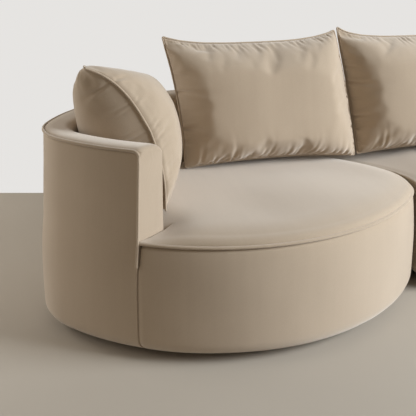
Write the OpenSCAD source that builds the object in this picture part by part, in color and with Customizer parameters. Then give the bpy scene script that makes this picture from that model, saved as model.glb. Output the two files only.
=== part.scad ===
// Settee of two upholstered units that nest together: an oval one with a wrap-round
// arm and back, and a straight one with a right arm. Millimetres, floor at z = 0.

/* [Oval unit plan] */
// Half width of the oval unit
oval_half_w = 700; // [640:5:760]
// Depth of the oval unit in front of its centre line
oval_front_d = 480; // [440:5:520]
// Depth of the oval unit behind its centre line
oval_back_d = 550; // [520:5:580]
// Radius of the oval's two ends
oval_end_r = 260; // [230:5:290]
// Where the left arm ends, as an angle on the front curve
arm_end_angle = 238.9; // [232:0.1:244]
// Where the oval's back wall ends, as an angle on the back curve
back_end_angle = 60; // [57:0.5:66]
// How far the front face of the left arm turns to the front, as a slope
arm_face_slope = 0.42; // [0:0.01:0.6]

/* [Straight unit plan] */
// Distance from the oval's centre to the outer face of the right arm
right_end_x = 1460; // [1380:5:1560]
// Depth of the straight unit in front of the oval's centre line
right_front_d = 200; // [160:5:260]
// Where the straight unit's back wall starts, from the oval's centre
right_back_x = 440; // [430:1:470]
// How far the right arm ends behind the front edge
right_arm_setback = 150; // [135:5:220]
// Radius of the straight unit's nested front corner
nest_corner_r = 150; // [110:5:180]
// Radius of the straight unit's free front corner
front_corner_r = 120; // [100:5:130]
// Radius of the straight unit's back corner
back_corner_r = 200; // [180:5:260]
// Gap between the two units
unit_gap = 8; // [4:1:16]

/* [Heights] */
// Underside of the upholstery above the floor
floor_gap = 22; // [18:1:30]
// Seam between the side panel and the seat
seat_seam_z = 388; // [370:1:410]
// Flat middle of the seat
seat_top_z = 434; // [424:1:446]
// Top of the arms and back walls
wall_top_z = 700; // [660:5:740]
// Height where the side panel bulges most
belly_z = 215; // [180:5:250]

/* [Upholstery] */
// Thickness of the arm and back walls
wall_t = 126; // [118:1:140]
// Thickness of a fabric cover with its wadding
cover_t = 3; // [2:0.5:4]
// Radius of the rounded lower edge
lower_edge_r = 54; // [46:1:62]
// How far the cover turns in under the frame
turn_under = 84; // [80:1:96]
// Inset of the lower side
lower_inset = 1; // [0:1:6]
// Inset of the seat seam
seam_inset = 11; // [6:1:16]
// Inset of the walls' top edge
top_inset = 24; // [14:1:30]
// Height of the welt band round the seat
band_h = 11; // [8:1:14]
// Depth of the welt band round the seat
band_d = 14; // [10:1:18]
// Diameter of the piping on the walls
piping_d = 9; // [6:1:11]

/* [Frame] */
// Thickness of the base board, hoop, ring and ribs
board_t = 18; // [15:1:20]
// Thickness of the bent plywood walls
ply_t = 12; // [10:1:14]
// Width of the ring that carries the webbing
ring_w = 54; // [48:1:60]
// Width of one webbing strap
strap_w = 50; // [40:1:60]
// Thickness of one webbing strap
strap_t = 2; // [1.5:0.25:2.25]
// Space between webbing straps
strap_pitch = 95; // [85:5:120]
// Diameter of a foot
foot_d = 60; // [50:1:64]
// Height of the glide under a foot
glide_h = 6; // [4:1:8]
// Diameter of the bolt that holds a foot
foot_bolt_d = 8; // [6:1:10]
// Diameter of the bolts that hold a wall to its hoop
wall_bolt_d = 8; // [6:1:10]

/* [Connectors] */
// Length of a plate that joins the two units
plate_l = 236; // [232:2:260]
// Width of a plate
plate_w = 40; // [34:1:50]
// Thickness of a plate
plate_t = 3; // [2:0.5:4]
// Diameter of a plate's screws
screw_d = 6; // [4:0.5:7]

/* [Back cushions] */
// Width of the left back cushion
left_cushion_w = 728; // [700:2:740]
// Height of a back cushion along its slope
back_cushion_h = 522; // [500:2:540]
// How far a back cushion's front swells
back_crown_front = 105; // [80:1:120]
// How far a back cushion's rear swells
back_crown_rear = 40; // [34:1:44]
// How far a back cushion leans back, in degrees
back_lean = 11; // [8:0.5:12]
// How far the back cushions slump to the side, as a slope
back_slump = -0.132; // [-0.14:0.002:0]
// Distance from the back wall's inner face to the back cushions' lower edges
back_cushion_set = 178; // [174:1:188]
// Gap between the two back cushions
cushion_gap = 10; // [6:1:14]

/* [Side pillow] */
// Width of the side pillow
pillow_w = 400; // [380:5:420]
// Height of the side pillow along its slope
pillow_h = 525; // [505:5:540]
// How far the side pillow swells to each side
pillow_crown = 135; // [110:1:140]
// How far the side pillow leans, in degrees
pillow_lean = 28; // [26:0.5:30]
// How far the side pillow turns about the upright
pillow_turn = -9; // [-12:0.5:0]

/* [Cushion make] */
// Depth of the seam wall round a cushion
seam_wall = 18; // [16:1:22]
// How far a cushion's sides draw in between its corners
draw_in = 15; // [0:1:22]
// Size of the welt on a cushion's seam
cushion_welt = 7; // [5:1:9]
// Thickness of the zip tape
zip_t = 5; // [4:0.5:6]
// Length of the zip as a share of the cushion's lower edge
zip_share = 0.6; // [0.4:0.05:0.8]

/* [Hidden] */
$fn = 48;
fit = 0.3;
seam_gap = 1.6;

// Steps along each arc of the plan, the same for every inset so that outlines pair up
end_steps = 6;
long_steps = 15;
short_steps = 4;
nest_steps = 5;
corner_steps = 7;
thread_slack = 0.4;

fabric = [0.62, 0.54, 0.46];
fabric_dark = [0.52, 0.45, 0.38];
foam = [0.93, 0.88, 0.72];
plywood = [0.80, 0.66, 0.47];
steel = [0.62, 0.63, 0.65];
black = [0.12, 0.12, 0.12];
tape = [0.78, 0.74, 0.66];

// The model's origin is under the middle of the whole settee
middle = [(right_end_x - oval_half_w) / 2, (oval_back_d - oval_front_d) / 2, 0];

// The oval: two end arcs with a front and a back arc that meet them without a corner
end_x = oval_half_w - oval_end_r;
function arc_radius(depth) =
    (end_x * end_x + depth * depth - oval_end_r * oval_end_r) / (2 * (depth - oval_end_r));
front_r = arc_radius(oval_front_d);
back_r = arc_radius(oval_back_d);
front_c = [0, front_r - oval_front_d];
back_c = [0, oval_back_d - back_r];
front_join = atan(front_c[1] / end_x);
back_join = atan(-back_c[1] / end_x);

// A plan point is [x, y, outward x, outward y]; inset moves it inwards by d
function arc(c, r, from, to, n, side = 1, first = 0) =
    [for (i = [first : n - 1]) let (t = from + (to - from) * i / n)
        [c[0] + r * cos(t), c[1] + r * sin(t), side * cos(t), side * sin(t)]];
function inset(p, d) = [p[0] - d * p[2], p[1] - d * p[3]];
function flat_plan(path, d) = [for (p = path) inset(p, d)];

// Moves an end point towards its neighbour by trim, on the straight line between them
function trimmed(end, next, trim) =
    end + (next - end) * trim / norm([next[0] - end[0], next[1] - end[1]]);

// Slants an end so that it slides along its own side as it is inset
function slanted(end, from, to, slope) =
    let (u = [to[0] - from[0], to[1] - from[1]], s = slope / norm(u))
    [end[0], end[1], end[2] - s * u[0], end[3] - s * u[1]];
function middle_of(list) = [for (i = [1 : len(list) - 2]) list[i]];

// The left unit's outline in two stretches; trim moves only their end points
left_wall = concat(
    arc(back_c, back_r, back_end_angle, 180 - back_join, long_steps),
    arc([-end_x, 0], oval_end_r, 180 - back_join, 180 + front_join, end_steps),
    arc(front_c, front_r, 180 + front_join, arm_end_angle, short_steps),
    arc(front_c, front_r, arm_end_angle, 360, 1));
left_front = concat(
    arc(front_c, front_r, arm_end_angle, 360 - front_join, long_steps),
    arc([end_x, 0], oval_end_r, -front_join, back_join, end_steps),
    arc(back_c, back_r, back_join, back_end_angle, nest_steps),
    arc(back_c, back_r, back_end_angle, 180, 1));
wall_last = len(left_wall) - 1;
front_last = len(left_front) - 1;
function left_wall_path(trim) = concat(
    [trimmed(left_wall[0], left_wall[1], trim)],
    middle_of(left_wall),
    [slanted(trimmed(left_wall[wall_last], left_wall[wall_last - 1], trim),
        left_wall[wall_last - 1], left_wall[wall_last], arm_face_slope)]);
function left_front_path(trim) = concat(
    [slanted(trimmed(left_front[0], left_front[1], trim),
        left_front[0], left_front[1], arm_face_slope)],
    middle_of(left_front),
    [trimmed(left_front[front_last], left_front[front_last - 1], trim)]);
function left_frame_plan(d) =
    flat_plan(concat([left_wall[0]], middle_of(left_wall), [left_front[0]], middle_of(left_front)), d);

// The right unit's outline: walls at the back and right, a hollow side round the oval
right_arm_y = right_arm_setback - right_front_d;
nest_end_r = oval_end_r + unit_gap;
nest_back_r = back_r + unit_gap;
nest_corner_c = [
    end_x + sqrt(pow(nest_end_r + nest_corner_r, 2) - pow(nest_corner_r - right_front_d, 2)),
    nest_corner_r - right_front_d];
nest_corner_turn = atan2(nest_corner_c[1], nest_corner_c[0] - end_x);
nest_top_angle = acos(right_back_x / nest_back_r);

// Angle on the hollow curve, inset by d, at a distance in front of the back line
function nest_angle(d, from_back) = asin((oval_back_d - from_back - back_c[1]) / (nest_back_r + d));
function right_wall_path(trim) = concat(
    right_wall_middle(trim),
    [[right_back_x + trim, oval_back_d, 0, 1]]);
function right_wall_middle(trim) = concat(
    [[right_end_x, right_arm_y + trim, 1, 0]],
    [[right_end_x, (right_arm_y + oval_back_d - back_corner_r) / 2, 1, 0]],
    arc([right_end_x - back_corner_r, oval_back_d - back_corner_r], back_corner_r, 0, 90,
        corner_steps),
    [[right_end_x - back_corner_r, oval_back_d, 0, 1]],
    [[(right_end_x - back_corner_r + right_back_x) / 2, oval_back_d, 0, 1]]);
wall_leg_d = 62;
nest_mitre = -tan(nest_top_angle / 2);
function right_front_path(trim) = concat(
    [[right_back_x, oval_back_d - wall_leg_d + trim, -1, 0.5]],
    [[right_back_x, back_c[1] + nest_back_r * sin(nest_top_angle), -1, nest_mitre]],
    right_side_path(),
    [[right_end_x, right_arm_y - trim, 1, 0]]);
function right_side_path() = concat(
    arc(back_c, nest_back_r, nest_top_angle, back_join, nest_steps, -1, first = 1),
    arc([end_x, 0], nest_end_r, back_join, nest_corner_turn, short_steps, -1),
    arc(nest_corner_c, nest_corner_r, 180 + nest_corner_turn, 270, corner_steps),
    [[nest_corner_c[0], -right_front_d, 0, -1]],
    arc([right_end_x - front_corner_r, front_corner_r - right_front_d], front_corner_r, -90, 0,
        corner_steps),
    [[right_end_x, front_corner_r - right_front_d, 1, 0]]);

// The right unit's frame, worked out afresh for each inset because its corners are tight
function frame_corner(r, d) = max(r - d, 20);
function right_frame_plan(d) =
    let (
        nr = frame_corner(nest_corner_r, d),
        ny = nr + d - right_front_d,
        nx = end_x + sqrt(pow(nest_end_r + d + nr, 2) - ny * ny),
        fr = frame_corner(front_corner_r, d),
        br = frame_corner(back_corner_r, d),
        rx = right_end_x - d,
        by = oval_back_d - d,
        top = min(acos((right_back_x + d) / (nest_back_r + d)), nest_angle(d, d)),
        turn = atan2(ny, nx - end_x))
    flat_plan(concat(
        arc([rx - br, by - br], br, 0, 90, corner_steps), [[rx - br, by, 0, 1]],
        [[(nest_back_r + d) * cos(top), by, 0, 1]],
        arc(back_c, nest_back_r + d, top, back_join, nest_steps),
        arc([end_x, 0], nest_end_r + d, back_join, turn, short_steps),
        arc([nx, ny], nr, 180 + turn, 270, corner_steps), [[nx, ny - nr, 0, -1]],
        arc([rx - fr, d - right_front_d + fr], fr, -90, 0, corner_steps),
        [[rx, d - right_front_d + fr, 1, 0]]), 0);

// Side contour as [inset, height] points, from under the frame up to the seam
lower_top_z = floor_gap + lower_edge_r;
function side_inset(z) =
    z < belly_z ? lower_inset * pow((belly_z - z) / (belly_z - lower_top_z), 2)
    : z < seat_seam_z ? seam_inset * pow((z - belly_z) / (seat_seam_z - belly_z), 2)
    : seam_inset + (top_inset - seam_inset) * (z - seat_seam_z) / (wall_top_z - seat_seam_z);
lower_curve = concat(
    [[turn_under, floor_gap]],
    [for (t = [0 : 22.5 : 90]) [lower_inset + lower_edge_r * (1 - sin(t)),
        floor_gap + lower_edge_r * (1 - cos(t))]]);
side_curve = concat(lower_curve,
    [for (z = [belly_z - 50, belly_z + 20, belly_z + 100]) [side_inset(z), z]],
    [[seam_inset, seat_seam_z]]);
piping_z = wall_top_z - piping_d;
wall_outer_curve = concat(side_curve,
    [for (z = [seat_seam_z + 100, seat_seam_z + 200]) [side_inset(z), z]],
    [[top_inset, piping_z - piping_d / 2 - fit]]);
soft_r = 34;
wall_top_curve = concat(
    [[top_inset + piping_d / 2 + fit, wall_top_z - 5], [top_inset + 16, wall_top_z - 1],
        [(top_inset + wall_t - soft_r) / 2, wall_top_z]],
    [for (t = [0 : 30 : 90]) [wall_t - soft_r * (1 - sin(t)),
        wall_top_z - 2 - soft_r * (1 - cos(t))]]);
welt_z = seat_seam_z + 3 * fit;
seat_rim_z = welt_z + band_h + fit;

// Moves an open [inset, height] curve to its inner side
function inner_side(curve, t) = [for (i = [0 : len(curve) - 1])
    let (
        a = curve[max(i - 1, 0)],
        b = curve[min(i + 1, len(curve) - 1)],
        u = (b - a) / norm(b - a))
    curve[i] + t * [u[1], -u[0]]];
function from_point(list, first) = [for (i = [first : len(list) - 1]) list[i]];
function backwards(list) = [for (i = [len(list) - 1 : -1 : 0]) list[i]];
function skin(curve) = concat(curve, backwards(inner_side(curve, cover_t)));

// A closed solid through rings of equal length, from the lowest ring to the last one
module loft(rings, first, last) {
    n = len(rings[0]);
    m = len(rings);
    points = concat([first], [for (r = rings) each r], [last]);
    polyhedron(points, concat(
        [for (i = [0 : n - 1]) [0, 1 + i, 1 + (i + 1) % n]],
        [for (k = [0 : m - 2], i = [0 : n - 1]) let (a = 1 + k * n, j = (i + 1) % n)
            each [[a + i, a + n + i, a + j], [a + j, a + n + i, a + n + j]]],
        [for (i = [0 : n - 1]) let (a = 1 + (m - 1) * n) [a + i, m * n + 1, a + (i + 1) % n]]),
        convexity = 6);
}

// Faces that close the end of a band: across a thin skin, from one corner of a full
// section, or round the slot of a saddle with m points on its face
function skin_cap(n) = [for (i = [0 : n / 2 - 2])
    each [[i, i + 1, n - 2 - i], [i, n - 2 - i, n - 1 - i]]];
function corner_cap(n) = [for (i = [0 : n - 3]) [i, i + 1, n - 1]];
function fan(from, to, centre) = [for (i = [from : to - 1]) [i, i + 1, centre]];
function saddle_cap(m, low, high) = concat(
    fan(0, low, m + 3), [[low, m + 2, m + 3]],
    fan(low, high, m + 2), [[high, m + 1, m + 2]],
    fan(high, m - 2, m + 1), [[m - 2, m, m + 1], [m - 2, m - 1, m]]);

// A band with one cross section, an [inset, height] outline, all along a plan path
module band(path, section, cap) {
    n = len(section);
    m = len(path);
    points = [for (p = path, s = section) let (q = inset(p, s[0])) [q[0], q[1], s[1]]];
    polyhedron(points, concat(
        [for (f = cap) backwards(f)],
        [for (k = [0 : m - 2], i = [0 : n - 1]) let (a = k * n, j = (i + 1) % n)
            each [[a + i, a + j, a + n + i], [a + j, a + n + j, a + n + i]]],
        [for (f = cap) [for (i = f) (m - 1) * n + i]]),
        convexity = 10);
}
module skin_band(path, curve) {
    section = skin(curve);
    band(path, section, skin_cap(len(section)));
}

// A flat board with holes through it
module board(plan, z, t, holes = [], hole_d = 1) {
    translate([0, 0, z])
        difference() {
            linear_extrude(t) polygon(plan);
            for (h = holes)
                translate([h[0], h[1], -1]) cylinder(d = hole_d, h = t + 2);
        }
}

module ring(outer, inner, z, t) {
    translate([0, 0, z])
        linear_extrude(t)
            difference() {
                polygon(outer);
                polygon(inner);
            }
}

// Stations through the depth of a wall and the height of the frame
nest_slack = 1.2;
ply_out = 39.7;
ply_in = ply_out + ply_t;
ply_top_z = wall_top_z - 40;
hoop_out = ply_in + fit;
hoop_in = hoop_out + ply_t;
board_z = lower_curve[2][1] + cover_t + fit;
hoop_z = board_z + board_t;
ring_top_z = 330;
ring_z = ring_top_z - board_t;
strap_z = ring_top_z;
strap_hold = 12;
foam_z = strap_z + 2 * strap_t + 2 * fit;
dust_t = 2;
dust_inset = turn_under + 2;

// Feet, each at a set distance inside the outline
left_foot_x = 300;
left_foot_front_y = 220 - oval_front_d;
left_foot_back_y = oval_back_d - 250;
left_feet_at = [[180 - oval_half_w, 0], [-left_foot_x, left_foot_front_y],
    [left_foot_x, left_foot_front_y], [oval_half_w - 190, -10],
    [left_foot_x, left_foot_back_y], [-left_foot_x, left_foot_back_y]];
right_foot_back_y = oval_back_d - 130;
right_feet_at = [[nest_corner_c[0] + 45, 120 - right_front_d],
    [right_end_x - 120, 120 - right_front_d], [right_end_x - 155, right_foot_back_y - 20],
    [right_back_x + 200, right_foot_back_y],
    [(right_back_x + right_end_x) / 2 + 30, right_foot_back_y]];
function gap_point(c, r, t) =
    [c[0] + (r + unit_gap / 2) * cos(t), c[1] + (r + unit_gap / 2) * sin(t), t];
plate_at = [gap_point([end_x, 0], oval_end_r, 4), gap_point(back_c, back_r, 31)];
screw_spots = [-plate_l / 2 + 11, -plate_l / 2 + 22, plate_l / 2 - 22, plate_l / 2 - 11];
function plate_screws_at(p) =
    [for (s = screw_spots) [p[0] + s * cos(p[2]), p[1] + s * sin(p[2])]];
all_screws = [for (p = plate_at) each plate_screws_at(p)];

module placed() {
    translate(-middle) children();
}

module base_board(plan, feet) {
    color(plywood) placed()
        difference() {
            board(plan, board_z, board_t, feet, foot_bolt_d + thread_slack);
            for (s = all_screws)
                translate([s[0], s[1], board_z - 1])
                    cylinder(d = screw_d + thread_slack, h = board_t + 2);
        }
}

module hoop(outer, inner, bolts) {
    color(plywood) placed()
        difference() {
            ring(outer, inner, hoop_z, ring_top_z - hoop_z);
            wall_bolt_set(bolts, wall_bolt_d + thread_slack, bolt_hole_spare);
        }
}

module ribs(plan, ys, xs) {
    color(plywood) placed()
        intersection() {
            translate([0, 0, hoop_z + fit]) linear_extrude(ring_z - hoop_z - 2 * fit) polygon(plan);
            union() {
                for (y = ys)
                    translate([-2000, y - board_t / 2, 0]) cube([4000, board_t, 600]);
                for (x = xs)
                    translate([x - board_t / 2, -2000, 0]) cube([board_t, 4000, 600]);
            }
        }
}

module seat_ring(outer, inner) {
    color(plywood) placed() ring(outer, inner, ring_z, board_t);
}

module webbing(plan, x_from, x_to, y_from, y_to) {
    color(tape) placed() {
        intersection() {
            translate([0, 0, strap_z]) linear_extrude(strap_t) polygon(plan);
            for (x = [x_from : strap_pitch : x_to])
                translate([x, -2000, 0]) cube([strap_w, 4000, 600]);
        }
        intersection() {
            translate([0, 0, strap_z + strap_t + fit]) linear_extrude(strap_t) polygon(plan);
            for (y = [y_from : strap_pitch : y_to])
                translate([-2000, y, 0]) cube([4000, strap_w, 600]);
        }
    }
}

// The seat's outline: d on the free side, w at the foot of the walls, e at the walls' ends
end_gap = 2;
function left_seat_plan(d, w, e = 0) = concat(
    flat_plan(left_front_path(end_gap + e), d),
    flat_plan(left_wall_path(-end_gap - e), wall_t + w));
function nest_point(d, from_back) =
    let (r = nest_back_r + d, t = nest_angle(d, from_back))
    [back_c[0] + r * cos(t), back_c[1] + r * sin(t)];
function right_seat_plan(d, w, e = 0) = concat(
    [nest_point(d, wall_t + w)],
    flat_plan(right_side_path(), d),
    flat_plan([[right_end_x, right_arm_y - end_gap - e, 1, 0]], d),
    flat_plan(right_wall_middle(-end_gap - e), wall_t + w));
function left_crown_plan(t) = left_seat_plan(seam_inset + 1 + t, fit + t, t);
function right_crown_plan(t) = right_seat_plan(seam_inset + 1 + t, fit + t, t);

// The crown draws in towards a point that sees the whole outline
left_seat_c = [0.186 * oval_half_w, -0.042 * oval_front_d];
right_seat_c = [right_end_x - wall_t - 0.25 * (right_end_x - wall_t - right_back_x),
    right_arm_y - 3 * end_gap];

// The crown rises steeply at the seam and runs flat over the middle
crown = [[1, 0], [0.985, 0.36], [0.955, 0.68], [0.905, 0.9], [0.84, 1], [0.4, 1]];
function crown_rings(plan, c, drop) = [for (k = crown) [for (p = plan)
    [c[0] + (p[0] - c[0]) * k[0], c[1] + (p[1] - c[1]) * k[0],
        seat_rim_z + (seat_top_z - seat_rim_z) * k[1] - (k[1] > 0 ? drop : 0)]]];
function level_ring(plan, z) = [for (p = plan) [p[0], p[1], z]];
function apex(c, drop) = [c[0], c[1], seat_top_z - drop];

module seat_cover(plan, inner_plan, c) {
    inside = crown_rings(inner_plan, c, cover_t);
    color(fabric) placed()
        loft(concat(backwards(inside), crown_rings(plan, c, 0)), apex(c, cover_t), apex(c, 0));
}

module seat_foam(low, neck, plan, c) {
    drop = cover_t + 2 * fit;
    color(foam) placed()
        loft(concat([level_ring(low, foam_z), level_ring(low, seat_seam_z + fit),
                level_ring(neck, seat_seam_z + 2 * fit), level_ring(neck, seat_rim_z - fit)],
            crown_rings(plan, c, drop)),
            [c[0], c[1], foam_z], apex(c, drop));
}

module seat_welt(outer, inner) {
    color(fabric_dark) placed() ring(outer, inner, welt_z, band_h);
}

module side_pad(path) {
    face = inner_side(from_point(side_curve, 2), cover_t + fit);
    section = concat(face, [[ply_in, seat_seam_z], [ply_in, face[0][1]]]);
    color(foam) placed() band(path, section, corner_cap(len(section)));
}

module side_cover(path) {
    color(fabric) placed() skin_band(path, side_curve);
}

module dust_cover(plan, feet) {
    color(black) placed()
        difference() {
            board(plan, board_z - fit - dust_t, dust_t, feet, foot_d + 1);
            for (s = all_screws)
                translate([s[0], s[1], floor_gap]) cylinder(d = screw_d + thread_slack, h = 12);
        }
}

module foot_parts(feet, what) {
    placed()
        for (f = feet)
            translate([f[0], f[1], 0]) {
                if (what == "foot")
                    color(black)
                        difference() {
                            translate([0, 0, glide_h])
                                cylinder(d1 = foot_d - 14, d2 = foot_d, h = board_z - glide_h);
                            translate([0, 0, glide_h - 1])
                                cylinder(d = foot_bolt_d + thread_slack, h = board_z);
                            translate([0, 0, glide_h - 1])
                                cylinder(d = 2 * foot_bolt_d, h = 7);
                        }
                if (what == "glide")
                    color([0.3, 0.3, 0.3]) cylinder(d = foot_d - 18, h = glide_h);
                if (what == "bolt")
                    color(steel) {
                        translate([0, 0, glide_h + 0.5])
                            cylinder(d = 2 * foot_bolt_d - 1, h = 5);
                        translate([0, 0, glide_h + 5])
                            cylinder(d = foot_bolt_d, h = hoop_z - glide_h);
                    }
            }
}

module wall_ply(path) {
    color(plywood) placed()
        difference() {
            band(path, [[ply_out, hoop_z], [ply_out, ply_top_z], [ply_in, ply_top_z],
                [ply_in, hoop_z]], corner_cap(4));
            children();
        }
}

// The foam is folded over the plywood like a saddle
pad_start = 3;
pad_outer_points = len(wall_outer_curve) - pad_start;
wall_curve = concat(from_point(wall_outer_curve, pad_start), wall_top_curve);
module wall_pad(path, leg_z) {
    face = inner_side(concat(wall_curve, [[wall_t, leg_z]]), cover_t + fit);
    section = concat(face,
        [[ply_in + fit, leg_z], [ply_in + fit, ply_top_z + fit],
            [ply_out - fit, ply_top_z + fit], [ply_out - fit, face[0][1]]]);
    color(foam) placed()
        band(path, section, saddle_cap(len(face), pad_outer_points - 2, pad_outer_points + 2));
}

module wall_outer_cover(path) {
    color(fabric) placed() skin_band(path, wall_outer_curve);
}

module wall_top_band(path) {
    color(fabric) placed() skin_band(path, concat(wall_top_curve, [[wall_t, seat_rim_z]]));
}

module wall_end_panel(path) {
    section = concat([[side_inset(seat_rim_z), seat_rim_z]],
        [for (i = [len(side_curve) : len(wall_outer_curve) - 1]) wall_outer_curve[i]],
        wall_top_curve, [[wall_t, seat_rim_z]]);
    color(fabric) placed() band(path, section, corner_cap(len(section)));
}

module wall_piping(path) {
    r = piping_d / 2;
    section = [for (t = [0 : 60 : 300]) [top_inset - 1 - r * cos(t), piping_z + r * sin(t)]];
    color(fabric_dark) placed() band(path, section, corner_cap(len(section)));
}

// Bolts through the plywood wall and the hoop, each as [x, y, direction]
bolt_rows = [hoop_z + 50, ring_z - 52];
module wall_bolt_set(bolts, d, spare) {
    for (b = bolts, z = bolt_rows)
        translate([b[0], b[1], z]) rotate([0, 0, b[2]]) rotate([0, 90, 0])
            cylinder(d = d, h = 2 * ply_t + spare, center = true);
}
bolt_in = hoop_out + 5;
bolt_spare = 6;
bolt_hole_spare = 18;
function bolt_at(c, r, t) = [c[0] + (r - bolt_in) * cos(t), c[1] + (r - bolt_in) * sin(t), t];
left_bolts_at = [bolt_at(back_c, back_r, 75), bolt_at(back_c, back_r, 105),
    bolt_at(back_c, back_r, 135), bolt_at([-end_x, 0], oval_end_r, 180),
    bolt_at(front_c, front_r, 225)];
right_bolts_at = concat(
    [for (x = [right_back_x + 160, (right_back_x + right_end_x) / 2 - 50, right_end_x - 280])
        [x, oval_back_d - bolt_in, 90]],
    [for (y = [right_arm_y + 110, oval_back_d - 290]) [right_end_x - bolt_in, y, 0]]);
module wall_bolts(bolts) {
    color(steel) placed() wall_bolt_set(bolts, wall_bolt_d, bolt_spare);
}

// Steel plates that join the base boards of the two units
module connector_plates() {
    color(steel) placed()
        for (p = plate_at)
            difference() {
                translate([p[0], p[1], floor_gap - plate_t]) rotate([0, 0, p[2]])
                    translate([-plate_l / 2, -plate_w / 2, 0]) cube([plate_l, plate_w, plate_t]);
                for (s = plate_screws_at(p))
                    translate([s[0], s[1], floor_gap - plate_t - 1])
                        cylinder(d = screw_d + thread_slack, h = plate_t + 2);
            }
}

module connector_screws() {
    head_t = 3;
    color(steel) placed()
        for (s = all_screws)
            translate([s[0], s[1], floor_gap - plate_t - head_t - fit]) {
                cylinder(d = screw_d + 4, h = head_t);
                cylinder(d = screw_d, h = head_t + plate_t + board_z - floor_gap + 12);
            }
}

// A cushion stands in the X-Z plane on the middle of its lower edge, its front towards -Y.
// u runs across and v up, each from -1 to 1; the sides draw in between the corners.
function across(w, h, slump, u, v) =
    [u * (w / 2 - draw_in * (1 - v * v)) + slump * v * h / 2,
        h / 2 + v * (h / 2 - draw_in * (1 - u * u))];
function puff(u, v) = sqrt(max(0, (1 - u * u) * (1 - v * v)));
function station(i, n) = sin(90 * (2 * i / n - 1));
module cushion_body(w, h, slump, front, rear, wall_front, wall_rear, nu, nv) {
    row = nu + 1;
    sheet = row * (nv + 1);
    points = [for (side = [-1, 1], j = [0 : nv], i = [0 : nu])
        let (u = station(i, nu), v = station(j, nv), p = across(w, h, slump, u, v))
        [p[0], side < 0 ? -wall_front - front * puff(u, v) : wall_rear + rear * puff(u, v), p[1]]];
    edge = concat([for (i = [0 : nu - 1]) i], [for (j = [0 : nv - 1]) nu + j * row],
        [for (i = [nu : -1 : 1]) nv * row + i], [for (j = [nv : -1 : 1]) j * row]);
    polyhedron(points, concat(
        [for (j = [0 : nv - 1], i = [0 : nu - 1]) let (a = j * row + i)
            each [[a, a + row, a + 1], [a + 1, a + row, a + row + 1]]],
        [for (j = [0 : nv - 1], i = [0 : nu - 1]) let (a = sheet + j * row + i)
            each [[a, a + 1, a + row], [a + 1, a + row + 1, a + row]]],
        [for (k = [0 : len(edge) - 1]) let (a = edge[k], b = edge[(k + 1) % len(edge)])
            each [[a, b, sheet + a], [b, sheet + b, sheet + a]]]),
        convexity = 6);
}

// The seam line in the plane, moved outwards by grow, for all four sides or one
edge_steps = 12;
function seam_line(w, h, slump, grow) =
    let (W = w + 2 * grow, s = slump)
    concat(
        [for (i = [0 : edge_steps - 1]) seam_point(W, h, s, grow, station(i, edge_steps), -1)],
        [for (i = [0 : edge_steps - 1]) seam_point(W, h, s, grow, 1, station(i, edge_steps))],
        [for (i = [0 : edge_steps - 1]) seam_point(W, h, s, grow, -station(i, edge_steps), 1)],
        [for (i = [0 : edge_steps - 1]) seam_point(W, h, s, grow, -1, -station(i, edge_steps))]);
function seam_point(W, h, s, grow, u, v) =
    let (p = across(W, h + 2 * grow, s, u, v)) [p[0], p[1] - grow];

welt_rear = 2;
module cushion_part(w, h, slump, front, rear, what) {
    body_w = w - 2 * cushion_welt;
    body_h = h - 2 * cushion_welt;
    half = seam_wall / 2;
    hollow = 4;
    translate([0, 0, cushion_welt]) {
        if (what == "cover")
            color(fabric)
                difference() {
                    cushion_body(body_w, body_h, slump, front - half, rear - half, half, half, 16, 12);
                    translate([0, 0, hollow])
                        cushion_body(body_w - 2 * hollow, body_h - 2 * hollow, slump,
                            front - half - 2 * hollow, rear - half - 2 * hollow,
                            half - hollow, half - hollow, 8, 6);
                }
        if (what == "insert")
            color([0.95, 0.94, 0.9])
                translate([0, 0, hollow + fit])
                    cushion_body(body_w - 2 * hollow - 2 * fit, body_h - 2 * hollow - 2 * fit, slump,
                        front - half - 2 * hollow - 3 * fit, rear - half - 2 * hollow - 3 * fit,
                        half - hollow - fit, half - hollow - fit, 8, 6);
        if (what == "welt")
            color(fabric_dark)
                translate([0, welt_rear, 0]) rotate([90, 0, 0])
                    linear_extrude(cushion_welt)
                        difference() {
                            polygon(seam_line(body_w, body_h, slump, cushion_welt));
                            polygon(seam_line(body_w, body_h, slump, fit));
                        }
        if (what == "zip")
            color(black)
                translate([0, half, 0]) rotate([90, 0, 0])
                    linear_extrude(half - welt_rear - fit)
                        intersection() {
                            difference() {
                                polygon(seam_line(body_w, body_h, slump, zip_t));
                                polygon(seam_line(body_w, body_h, slump, fit));
                            }
                            translate([-zip_share * w / 2, -zip_t - 2])
                                square([zip_share * w, 40]);
                        }
    }
}

// Where each cushion rests, on its welt or on its zip, whichever dips lower as it leans
function rest_z(lean) = seat_top_z + fit
    + max(welt_rear * sin(lean), seam_wall / 2 * sin(lean) - (cushion_welt - zip_t) * cos(lean));
arm_face_x = wall_t - oval_half_w;
cushion_row_x = arm_face_x + 406;
side_room = 8;
cushion_row_end_x = right_end_x - wall_t + back_slump * back_cushion_h / 2 - side_room;
left_cushion_x = cushion_row_x + left_cushion_w / 2;
right_cushion_w = cushion_row_end_x - cushion_row_x - left_cushion_w - cushion_gap;
right_cushion_x = cushion_row_end_x - right_cushion_w / 2;
left_cushion_y = oval_back_d - wall_t - back_cushion_set;
right_cushion_y = left_cushion_y + 18;
pillow_at = [arm_face_x + 312, 10];

module left_cushion(what) {
    placed() translate([left_cushion_x, left_cushion_y, rest_z(back_lean)]) rotate([-back_lean, 0, 0])
        cushion_part(left_cushion_w, back_cushion_h, back_slump, back_crown_front,
            back_crown_rear, what);
}

module right_cushion(what) {
    placed() translate([right_cushion_x, right_cushion_y, rest_z(back_lean)]) rotate([-back_lean, 0, 0])
        cushion_part(right_cushion_w, back_cushion_h, back_slump, back_crown_front,
            back_crown_rear, what);
}

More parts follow.
